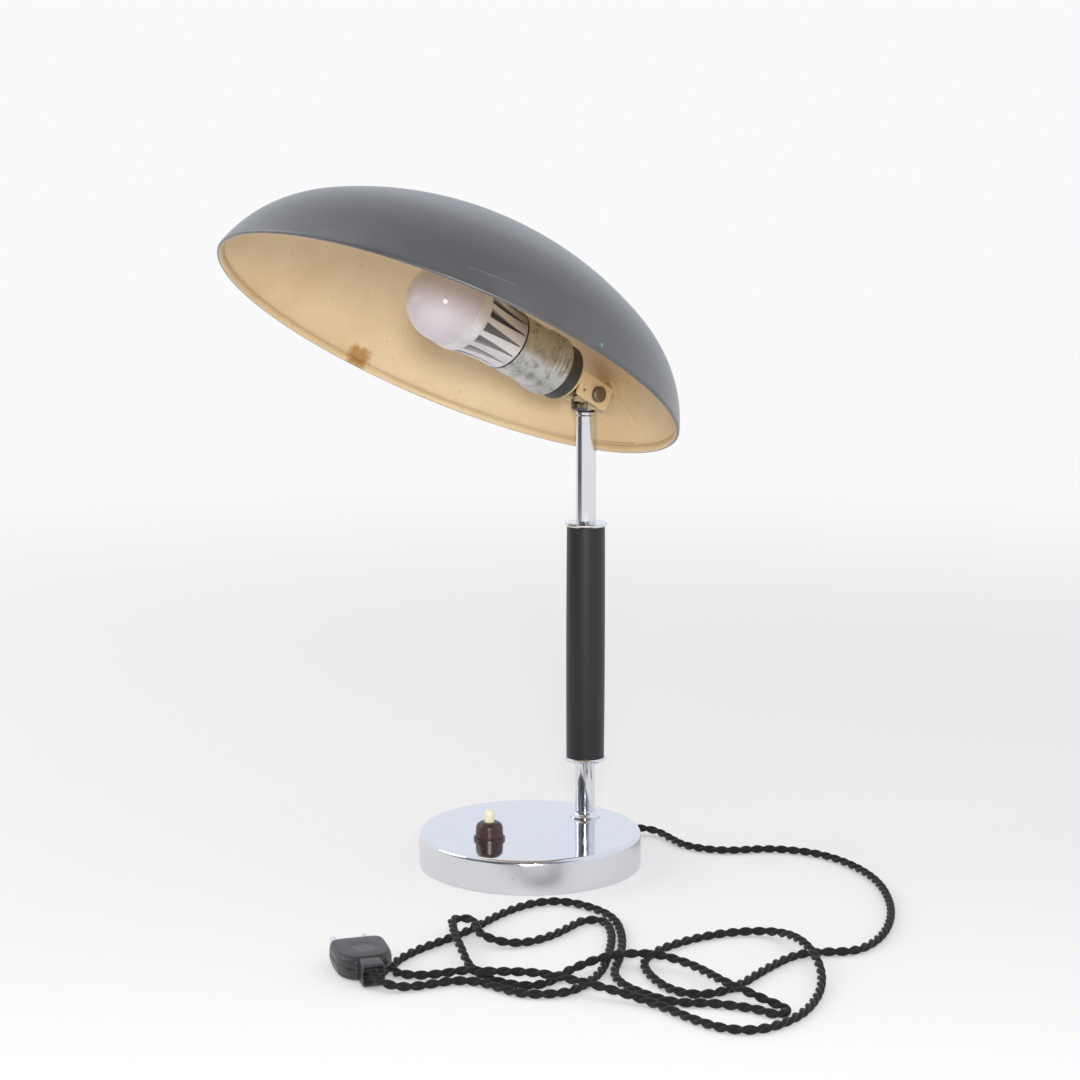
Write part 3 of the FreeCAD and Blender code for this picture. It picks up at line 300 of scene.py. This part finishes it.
def dress(material, *names):
    """Give CAD nodes their finish."""
    for name in names:
        for socket in nodes[name].material_slots:
            socket.material = material


dress(chrome, "base_shell", "stem_tube", "foot_collar", "lower_flange", "upper_flange", "neck_ring", "head_fork",
      "plug_pins")


# Underside: a ground steel cover plate on three screws, the cast iron weight that it
# hides, and a disc of pressed wool felt that the lamp stands on.

felt, tree, shader = finish_of("pressed_wool_felt", Roughness=0.95, Sheen_Weight=0.3, Specular_IOR_Level=0.2)
place = add(tree, "TexCoord")
fibre = add(tree, "TexNoise", {"Vector": place.outputs["Object"], "Scale": 900, "Detail": 3})
tone = add(tree, "Mix", {0: fibre.outputs["Fac"], 6: linear("26302A"), 7: linear("3A463E")}, data_type="RGBA")
relief = add(tree, "Bump", {"Height": fibre.outputs["Fac"], "Strength": 0.6, "Distance": 0.0005})
tree.links.new(tone.outputs[2], shader.inputs["Base Color"])
tree.links.new(relief.outputs[0], shader.inputs["Normal"])
dress(felt, "base_felt")

iron, tree, shader = finish_of("sand_cast_iron", Roughness=0.7, Metallic=0.6)
place = add(tree, "TexCoord")
sand = add(tree, "TexNoise", {"Vector": place.outputs["Object"], "Scale": 500, "Detail": 4})
tone = add(tree, "Mix", {0: sand.outputs["Fac"], 6: linear("2C2B2A"), 7: linear("4A4744")}, data_type="RGBA")
relief = add(tree, "Bump", {"Height": sand.outputs["Fac"], "Strength": 0.5, "Distance": 0.0006})
tree.links.new(tone.outputs[2], shader.inputs["Base Color"])
tree.links.new(relief.outputs[0], shader.inputs["Normal"])
dress(iron, "base_weight")

# Bare turned steel, dulled brown by age where hands have left it.
steel, tree, shader = finish_of("dulled_bare_steel", Metallic=0.9)
place = add(tree, "TexCoord")
tarnish = add(tree, "TexNoise", {"Vector": place.outputs["Object"], "Scale": 220, "Detail": 4})
tone = add(tree, "Mix", {0: tarnish.outputs["Fac"], 6: linear("6A5D4F"), 7: linear("95897B")}, data_type="RGBA")
rough = add(tree, "MapRange", {"Value": tarnish.outputs["Fac"], "To Min": 0.35, "To Max": 0.6})
tree.links.new(tone.outputs[2], shader.inputs["Base Color"])
tree.links.new(rough.outputs[0], shader.inputs["Roughness"])
dress(steel, "base_cover", "base_screws", "stem_nut", "stem_washer", "hinge_bolt", "spring_washer",
      "hinge_nut", "holder_nut", "plug_screw", "fork_nut")

# Threaded lamp tube and contacts in brass, gone brown.
brass, tree, shader = finish_of("aged_brass", Metallic=1.0)
place = add(tree, "TexCoord")
tarnish = add(tree, "TexNoise", {"Vector": place.outputs["Object"], "Scale": 300, "Detail": 3})
tone = add(tree, "Mix", {0: tarnish.outputs["Fac"], 6: linear("7A6238"), 7: linear("B0904F")}, data_type="RGBA")
rough = add(tree, "MapRange", {"Value": tarnish.outputs["Fac"], "To Min": 0.3, "To Max": 0.55})
tree.links.new(tone.outputs[2], shader.inputs["Base Color"])
tree.links.new(rough.outputs[0], shader.inputs["Roughness"])
dress(brass, "tube_insert", "neck_nipple", "holder_nipple", "holder_liner", "holder_contact", "bulb_cap")

# Soft black rubber bush and washer: matt, with a trace of bloom.
rubber, tree, shader = finish_of("black_rubber", Roughness=0.7)
place = add(tree, "TexCoord")
bloom = add(tree, "TexNoise", {"Vector": place.outputs["Object"], "Scale": 260, "Detail": 3})
tone = add(tree, "Mix", {0: bloom.outputs["Fac"], 6: linear("151515"), 7: linear("242322")}, data_type="RGBA")
tree.links.new(tone.outputs[2], shader.inputs["Base Color"])
dress(rubber, "cord_bush", "neck_washer")


# Push switch on the base: a compression moulded cap of brown phenolic, screwed down over
# the plate, with a cream button of urea plastic that springs back.

phenolic, tree, shader = finish_of("brown_phenolic", Roughness=0.34, Specular_IOR_Level=0.5)
place = add(tree, "TexCoord")
fleck = add(tree, "TexNoise", {"Vector": place.outputs["Object"], "Scale": 420, "Detail": 4})
tone = add(tree, "Mix", {0: fleck.outputs["Fac"], 6: linear("33221F"), 7: linear("4A3430")}, data_type="RGBA")
relief = add(tree, "Bump", {"Height": fleck.outputs["Fac"], "Strength": 0.1, "Distance": 0.0002})
tree.links.new(tone.outputs[2], shader.inputs["Base Color"])
tree.links.new(relief.outputs[0], shader.inputs["Normal"])
dress(phenolic, "switch_cap", "switch_body")

urea, tree, shader = finish_of("cream_urea_plastic", Roughness=0.3, Subsurface_Weight=0.05)
place = add(tree, "TexCoord")
cloud = add(tree, "TexNoise", {"Vector": place.outputs["Object"], "Scale": 350, "Detail": 2})
tone = add(tree, "Mix", {0: cloud.outputs["Fac"], 6: linear("EFE4C4"), 7: linear("F8F0D8")}, data_type="RGBA")
tree.links.new(tone.outputs[2], shader.inputs["Base Color"])
dress(urea, "switch_button")


# Hand grip: a tube of black hard rubber held between the two flanges, satin and a little
# dusty, with long soft rub marks.

ebonite, tree, shader = finish_of("black_hard_rubber", Specular_IOR_Level=0.55)
place = add(tree, "TexCoord")
stretched = add(tree, "Mapping", {"Vector": place.outputs["Object"], "Scale": (1, 1, 0.12)})
rubbed = add(tree, "TexNoise", {"Vector": stretched.outputs[0], "Scale": 260, "Detail": 4})
tone = add(tree, "Mix", {0: rubbed.outputs["Fac"], 6: linear("0B0C0E"), 7: linear("131416")}, data_type="RGBA")
rough = add(tree, "MapRange", {"Value": rubbed.outputs["Fac"], "To Min": 0.36, "To Max": 0.5})
relief = add(tree, "Bump", {"Height": rubbed.outputs["Fac"], "Strength": 0.08, "Distance": 0.0003})
tree.links.new(tone.outputs[2], shader.inputs["Base Color"])
tree.links.new(rough.outputs[0], shader.inputs["Roughness"])
tree.links.new(relief.outputs[0], shader.inputs["Normal"])
dress(ebonite, "grip_sleeve")


# Shade: one dome of steel sheet, spun over a former, with its edge folded inwards into a
# hem. Stove enamelled satin black outside and cream inside, which has gone beige.

shade_radius = 0.157
shade_depth = 0.0843
shoulder_radius = 0.0866
shoulder_end = radians(74.1)
shade_wall = 0.0009
hem_wall = 0.0024
hem_height = 0.0034
hinge = Vector((0, 0.0503, 0.3161))
hinge_in_shade = Vector((0, 0.1218, 0.0262))
shade_place = (Matrix.Translation(hinge) @ Matrix.Rotation(radians(-28.72), 4, "X")
               @ Matrix.Translation(-hinge_in_shade))

shoulder_x = shade_radius - shoulder_radius * sin(shoulder_end)
shoulder_z = -shoulder_radius * cos(shoulder_end)
rise = shade_depth - shoulder_z
crown_radius = (shoulder_x ** 2 + rise ** 2 - shoulder_radius ** 2) / (2 * (rise - shoulder_radius))
crown_z = shade_depth - crown_radius
crown_end = atan2(shoulder_x, shoulder_z - crown_z)


def dome_line(inset, low, count=34):
    """Points of the dome's section, set in by an inset, from the crown to a height above the rim."""
    points = []
    for index in range(count):
        turn = crown_end * index / count
        points.append(((crown_radius - inset) * sin(turn), crown_z + (crown_radius - inset) * cos(turn)))
    last = acos((low - shoulder_z) / (shoulder_radius - inset))
    for index in range(count + 1):
        turn = crown_end + (last - crown_end) * index / count
        points.append((shoulder_x + (shoulder_radius - inset) * sin(turn),
                       shoulder_z + (shoulder_radius - inset) * cos(turn)))
    return points


outside = dome_line(0, 0)
inside = dome_line(shade_wall, hem_height + 0.0002)
hem_foot, hem_top = dome_line(hem_wall, 0)[-1], dome_line(hem_wall, hem_height)[-1]
fold = []
for index in range(1, 8):
    turn = pi * index / 8
    middle = ((outside[-1][0] + hem_foot[0]) / 2, 0)
    reach = (outside[-1][0] - hem_foot[0]) / 2
    fold.append((middle[0] + reach * cos(turn), middle[1] - reach * sin(turn)))
groove = dome_line(shade_wall, hem_height - 0.0012)[-1]
hem_lip = (hem_top[0] + 0.0005, hem_top[1] + 0.0001)
section = outside + fold + [hem_foot, hem_top, hem_lip, groove] + list(reversed(inside))
dome = bmesh.new()
corners = [dome.verts.new((radius, 0, height)) for radius, height in section]
edges = [dome.edges.new(pair) for pair in zip(corners[:-1], corners[1:])]
bmesh.ops.spin(dome, geom=corners + edges, cent=(0, 0, 0), axis=(0, 0, 1), angle=2 * pi, steps=240, use_merge=True)
bmesh.ops.remove_doubles(dome, verts=dome.verts[:], dist=0.00001)
bmesh.ops.recalc_face_normals(dome, faces=dome.faces[:])


def depth_in_dome(spot):
    """How far a spot lies inside the dome's outer face, in the shade's own frame."""
    radius = hypot(spot.x, spot.y)
    if atan2(radius, spot.z - crown_z) < crown_end:
        return crown_radius - hypot(radius, spot.z - crown_z)
    return shoulder_radius - hypot(radius - shoulder_x, spot.z - shoulder_z)


for face in dome.faces:
    middle = face.calc_center_median()
    depth = depth_in_dome(middle)
    outer_half = middle.z < 0 and hypot(middle.x, middle.y) > outside[-1][0] - 0.0016
    if depth < shade_wall / 2 or outer_half:
        face.material_index = 0
    elif shade_wall + 0.0001 < depth < hem_wall - 0.0001 and middle.z > hem_height - 0.0014:
        face.material_index = 2
    else:
        face.material_index = 1
bmesh.ops.transform(dome, matrix=shade_place, verts=dome.verts[:])

# Satin black stove enamel on steel: even, with a fine orange peel and hairline scratches.
black_enamel, tree, shader = finish_of("satin_black_enamel", Specular_IOR_Level=0.9,
                                       Coat_Weight=0.9, Coat_Roughness=0.38)
place = add(tree, "TexCoord")
cloud = add(tree, "TexNoise", {"Vector": place.outputs["Object"], "Scale": 30, "Detail": 4})
grain = add(tree, "TexNoise", {"Vector": place.outputs["Object"], "Scale": 1500, "Detail": 2})
# Towards the rim the black turns paler grey, fading out 22 mm above it: painted sheen, with dust.
shade_axis = (shade_place.to_3x3() @ Vector((0, 0, 1)))
axis_start = shade_axis.dot(hinge) - hinge_in_shade.z
level = add(tree, "VectorMath", {0: place.outputs["Object"], 1: tuple(shade_axis)}, operation="DOT_PRODUCT")
dust = add(tree, "MapRange", {"Value": level.outputs["Value"], "From Min": axis_start + 0.004,
                              "From Max": axis_start + 0.022, "To Min": 0.55, "To Max": 0.0})
dust = add(tree, "Math", {0: dust.outputs[0], 1: cloud.outputs["Fac"]}, operation="MULTIPLY")
tone = add(tree, "Mix", {0: cloud.outputs["Fac"], 6: linear("1B1B1D"), 7: linear("262628")}, data_type="RGBA")
sheen_and_dust = add(tree, "Mix", {0: dust.outputs[0], 6: tone.outputs[2], 7: linear("6E6E70")}, data_type="RGBA")
# One broken scratch, 27 mm long, on the side that faces the light: a thin plane cuts the
# enamel there. Beside it, lower down, one chip shows old green primer.
scratch_middle = (0.1268, -0.1380, 0.4020)
scratch_way = add(tree, "VectorMath", {0: place.outputs["Object"], 1: scratch_middle}, operation="SUBTRACT")
scratch_off = add(tree, "VectorMath", {0: scratch_way.outputs[0], 1: (0.158, -0.504, -0.849)}, operation="DOT_PRODUCT")
scratch_off = add(tree, "Math", {0: scratch_off.outputs["Value"]}, operation="ABSOLUTE")
scratch_reach = add(tree, "VectorMath", {0: scratch_way.outputs[0]}, operation="LENGTH")
thin = add(tree, "MapRange", {"Value": scratch_off.outputs[0], "From Min": 0.00012, "From Max": 0.0003,
                              "To Min": 1.0, "To Max": 0.0})
short = add(tree, "MapRange", {"Value": scratch_reach.outputs["Value"], "From Min": 0.013, "From Max": 0.016,
                               "To Min": 1.0, "To Max": 0.0})
breaks = add(tree, "MapRange", {"Value": grain.outputs["Fac"], "From Min": 0.45, "From Max": 0.6})
scratch = add(tree, "Math", {0: thin.outputs[0], 1: short.outputs[0]}, operation="MULTIPLY")
scratch = add(tree, "Math", {0: scratch.outputs[0], 1: breaks.outputs[0]}, operation="MULTIPLY")
marked = add(tree, "Mix", {0: scratch.outputs[0], 6: sheen_and_dust.outputs[2], 7: linear("8C8C8E")}, data_type="RGBA")
chip_reach = add(tree, "VectorMath", {0: place.outputs["Object"], 1: (0.1550, -0.0789, 0.3617)}, operation="DISTANCE")
chip = add(tree, "MapRange", {"Value": chip_reach.outputs["Value"], "From Min": 0.0009, "From Max": 0.0013,
                              "To Min": 1.0, "To Max": 0.0})
marked = add(tree, "Mix", {0: chip.outputs[0], 6: marked.outputs[2], 7: linear("3F9478")}, data_type="RGBA")
rough = add(tree, "MapRange", {"Value": cloud.outputs["Fac"], "To Min": 0.40, "To Max": 0.48})
relief = add(tree, "Bump", {"Height": grain.outputs["Fac"], "Strength": 0.12, "Distance": 0.0001})
tree.links.new(marked.outputs[2], shader.inputs["Base Color"])
tree.links.new(rough.outputs[0], shader.inputs["Roughness"])
tree.links.new(relief.outputs[0], shader.inputs["Normal"])

# Cream stove enamel, yellowed unevenly, with fine brown specks and one runny rust stain.
cream_enamel, tree, shader = finish_of("aged_cream_enamel", Roughness=0.42)
place = add(tree, "TexCoord")
cloud = add(tree, "TexNoise", {"Vector": place.outputs["Object"], "Scale": 22, "Detail": 5, "Roughness": 0.6})
spot_cells = add(tree, "TexVoronoi", {"Vector": place.outputs["Object"], "Scale": 150}, feature="F1")
spot = add(tree, "MapRange", {"Value": spot_cells.outputs["Distance"], "From Min": 0.04, "From Max": 0.16,
                              "To Min": 1.0, "To Max": 0.0})
spot_patch = add(tree, "TexNoise", {"Vector": place.outputs["Object"], "Scale": 90, "Detail": 2})
spot_share = add(tree, "MapRange", {"Value": spot_patch.outputs["Fac"], "From Min": 0.5, "From Max": 0.75})
speck = add(tree, "Math", {0: spot.outputs[0], 1: spot_share.outputs[0]}, operation="MULTIPLY")
yellowed = add(tree, "MapRange", {"Value": cloud.outputs["Fac"], "From Min": 0.3, "From Max": 0.7})
tone = add(tree, "Mix", {0: yellowed.outputs[0], 6: linear("E2C598"), 7: linear("ECD5AE")}, data_type="RGBA")
specked = add(tree, "Mix", {0: speck.outputs[0], 6: tone.outputs[2], 7: linear("A07C4C")}, data_type="RGBA")
# One rust stain by the hem on the far side, about 20 mm long.
stain_way = add(tree, "VectorMath", {0: place.outputs["Object"], 1: (-0.1487, -0.0299, 0.3362)}, operation="SUBTRACT")
stain_reach = add(tree, "VectorMath", {0: stain_way.outputs[0]}, operation="LENGTH")
ragged = add(tree, "TexNoise", {"Vector": place.outputs["Object"], "Scale": 260, "Detail": 4})
uneven = add(tree, "MapRange", {"Value": ragged.outputs["Fac"], "To Min": -0.005, "To Max": 0.005})
stain_edge = add(tree, "Math", {0: stain_reach.outputs["Value"], 1: uneven.outputs[0]}, operation="ADD")
stain = add(tree, "MapRange", {"Value": stain_edge.outputs[0], "From Min": 0.0055, "From Max": 0.0105,
                               "To Min": 0.85, "To Max": 0.0})
stained = add(tree, "Mix", {0: stain.outputs[0], 6: specked.outputs[2], 7: linear("B07A35")}, data_type="RGBA")
tree.links.new(stained.outputs[2], shader.inputs["Base Color"])

# The crevice over the hem, brown with rust and old dust.
crevice, tree, shader = finish_of("rusty_crevice", Roughness=0.8)
place = add(tree, "TexCoord")
broken = add(tree, "TexNoise", {"Vector": place.outputs["Object"], "Scale": 120, "Detail": 4})
tone = add(tree, "Mix", {0: broken.outputs["Fac"], 6: linear("4A2C16"), 7: linear("8E6538")}, data_type="RGBA")
tree.links.new(tone.outputs[2], shader.inputs["Base Color"])

shade = new_piece("shade_dome", dome, black_enamel, cream_enamel, crevice)
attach(shade, "shade_head")
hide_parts("shade_shell")
dress(cream_enamel, "shade_bracket")


# Lampholder: a moulded insulator cap and a spun aluminium skirt with fine ribs at its back,
# scuffed and spotted with age.

insulator, tree, shader = finish_of("moulded_insulator", Roughness=0.5)
place = add(tree, "TexCoord")
dust = add(tree, "TexNoise", {"Vector": place.outputs["Object"], "Scale": 240, "Detail": 4})
tone = add(tree, "Mix", {0: dust.outputs["Fac"], 6: linear("2A2A2A"), 7: linear("454443")}, data_type="RGBA")
tree.links.new(tone.outputs[2], shader.inputs["Base Color"])
dress(insulator, "holder_cap", "holder_core", "hinge_washers", "bulb_neck")

aluminium, tree, shader = finish_of("spun_aluminium", Metallic=1.0)
place = add(tree, "TexCoord")
scuff = add(tree, "TexNoise", {"Vector": place.outputs["Object"], "Scale": 160, "Detail": 5, "Roughness": 0.65})
smudge = add(tree, "MapRange", {"Value": scuff.outputs["Fac"], "From Min": 0.5, "From Max": 0.72})
tone = add(tree, "Mix", {0: smudge.outputs[0], 6: linear("C9C9C6"), 7: linear("86857F")}, data_type="RGBA")
rough = add(tree, "MapRange", {"Value": scuff.outputs["Fac"], "To Min": 0.28, "To Max": 0.55})
tree.links.new(tone.outputs[2], shader.inputs["Base Color"])
tree.links.new(rough.outputs[0], shader.inputs["Roughness"])
dress(aluminium, "holder_shell")


# Bulb: a pale lacquered aluminium heat sink with tapered slots, a smooth ring, and an opal
# polycarbonate globe that is faintly lilac when unlit.

lacquer, tree, shader = finish_of("lacquered_heat_sink", Roughness=0.32, Metallic=0.35)
place = add(tree, "TexCoord")
cloud = add(tree, "TexNoise", {"Vector": place.outputs["Object"], "Scale": 200, "Detail": 2})
tone = add(tree, "Mix", {0: cloud.outputs["Fac"], 6: linear("D6D4D6"), 7: linear("E6E4E6")}, data_type="RGBA")
# Painted shade in the slots: the slots' floors lie within 18.2 mm of the bulb's axis, and the sink darkens to grey
# from 21.5 mm inwards, fully at 18.2 mm.
from_bulb = add(tree, "VectorMath", {0: place.outputs["Object"], 1: (0, -0.0702, 0.3802)}, operation="SUBTRACT")
off_axis = add(tree, "VectorMath", {0: from_bulb.outputs[0], 1: (0, -0.9155, 0.4029)}, operation="CROSS_PRODUCT")
radius = add(tree, "VectorMath", {0: off_axis.outputs[0]}, operation="LENGTH")
slot_shade = add(tree, "MapRange", {"Value": radius.outputs["Value"], "From Min": 0.0182, "From Max": 0.0215,
                                     "To Min": 1.0, "To Max": 0.0})
tone = add(tree, "Mix", {0: slot_shade.outputs[0], 6: tone.outputs[2], 7: linear("5F5D5B")}, data_type="RGBA")
tree.links.new(tone.outputs[2], shader.inputs["Base Color"])
dress(lacquer, "bulb_heat_sink", "bulb_ring")

opal, tree, shader = finish_of("opal_polycarbonate", Roughness=0.18, Coat_Weight=0.2, Coat_Roughness=0.08)
place = add(tree, "TexCoord")
cloud = add(tree, "TexNoise", {"Vector": place.outputs["Object"], "Scale": 40, "Detail": 2})
tone = add(tree, "Mix", {0: cloud.outputs["Fac"], 6: linear("D0C8CE"), 7: linear("D9D2D9")}, data_type="RGBA")
tree.links.new(tone.outputs[2], shader.inputs["Base Color"])
dress(opal, "bulb_diffuser")


# Plug: two satin black moulded halves, screwed together round the pins and the cord.

plug_plastic, tree, shader = finish_of("moulded_plug_plastic", Roughness=0.36)
place = add(tree, "TexCoord")
cloud = add(tree, "TexNoise", {"Vector": place.outputs["Object"], "Scale": 320, "Detail": 4})
tone = add(tree, "Mix", {0: cloud.outputs["Fac"], 6: linear("242426"), 7: linear("343437")}, data_type="RGBA")
relief = add(tree, "Bump", {"Height": cloud.outputs["Fac"], "Strength": 0.1, "Distance": 0.0002})
tree.links.new(tone.outputs[2], shader.inputs["Base Color"])
tree.links.new(relief.outputs[0], shader.inputs["Normal"])

plug_place = Matrix.Translation((0.1224, -0.2255, 0)) @ Matrix.Rotation(atan2(0.4048, -0.9145), 4, "Z")
parting = 0.008
plug_middle = 0.027
rings = [(0.972, 0.0002), (0.996, 0.0006), (1.0, 0.0014), (0.992, 0.0032), (0.965, 0.0050), (0.92, 0.0066),
         (0.87, 0.0071)] + [(0.82 * (1 - k / 14), 0.0075 - 0.0003 * (1 - k / 14) ** 2) for k in range(14)]
plug_side = [(7, 0), (7, 5.5), (8, 9), (11, 12.6), (18, 16.2), (27, 16.6), (40, 16.6), (44, 15.4), (45.5, 12), (45.5, 0)]


def plug_plan():
    """The plug's rounded plan, in metres, smoothed by cutting its corners."""
    plan = plug_side + [(x, -y) for x, y in reversed(plug_side[1:-1])]
    for _ in range(2):
        cut = []
        for (x0, y0), (x1, y1) in zip(plan, plan[1:] + plan[:1]):
            cut += [(x0 * 0.75 + x1 * 0.25, y0 * 0.75 + y1 * 0.25), (x0 * 0.25 + x1 * 0.75, y0 * 0.25 + y1 * 0.75)]
        plan = cut
    return [(x / 1000, y / 1000) for x, y in plan]


for name, side in (("plug_upper_shell", 1), ("plug_lower_shell", -1)):
    half = bmesh.new()
    cap = half.faces.new([half.verts.new((x, y, 0)) for x, y in plug_plan()])
    share, height = 1.0, 0.0
    for next_share, next_height in rings:
        grown = bmesh.ops.extrude_face_region(half, geom=[cap])["geom"]
        cap = [item for item in grown if isinstance(item, bmesh.types.BMFace)][0]
        for vert in cap.verts:
            vert.co.x = plug_middle + (vert.co.x - plug_middle) * next_share / share
            vert.co.y *= next_share / share
            vert.co.z = next_height
        share = next_share
    for vert in half.verts:
        dip = 1 - ((vert.co.x - 0.024) / 0.0056) ** 2 - (vert.co.y / 0.0088) ** 2
        if side > 0 and vert.co.z > 0.006 and dip > 0:
            vert.co.z -= 0.0025 * dip ** 0.7
        vert.co.z = parting + side * vert.co.z
    collar = bmesh.ops.create_cube(half, size=1)["verts"]
    bmesh.ops.scale(half, vec=(0.0150, 0.0132, 0.0064), verts=collar)
    bmesh.ops.translate(half, vec=(0.0025, 0, parting + side * 0.0033), verts=collar)
    mouth = [face for face in half.faces if face.normal.x < -0.9 and all(v in collar for v in face.verts)]
    hole = bmesh.ops.inset_individual(half, faces=mouth, thickness=0.0015)["faces"]
    for vert in mouth[0].verts:
        vert.co.x += 0.0045
        vert.co.z -= side * 0.0013 if abs(vert.co.z - parting) < 0.002 else 0
    rim = [edge for edge in half.edges if all(v in collar for v in edge.verts)
           and all(abs(v.co.z - parting) > 0.004 for v in edge.verts)]
    rim += [edge for edge in half.edges if all(v in collar and v.co.x < -0.004 for v in edge.verts)
            and edge not in rim and abs(edge.verts[0].co.z - edge.verts[1].co.z) > 0.004]
    bmesh.ops.bevel(half, geom=rim, offset=0.0012, segments=4, profile=0.5, affect="EDGES", material=-1)
    bmesh.ops.recalc_face_normals(half, faces=half.faces[:])
    bmesh.ops.transform(half, matrix=plug_place, verts=half.verts[:])
    shell = new_piece(name, half, plug_plastic)
    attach(shell, "stand")
    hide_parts("plug_upper_half" if side > 0 else "plug_lower_half")


bpy.context.scene.view_settings.view_transform = "Standard"
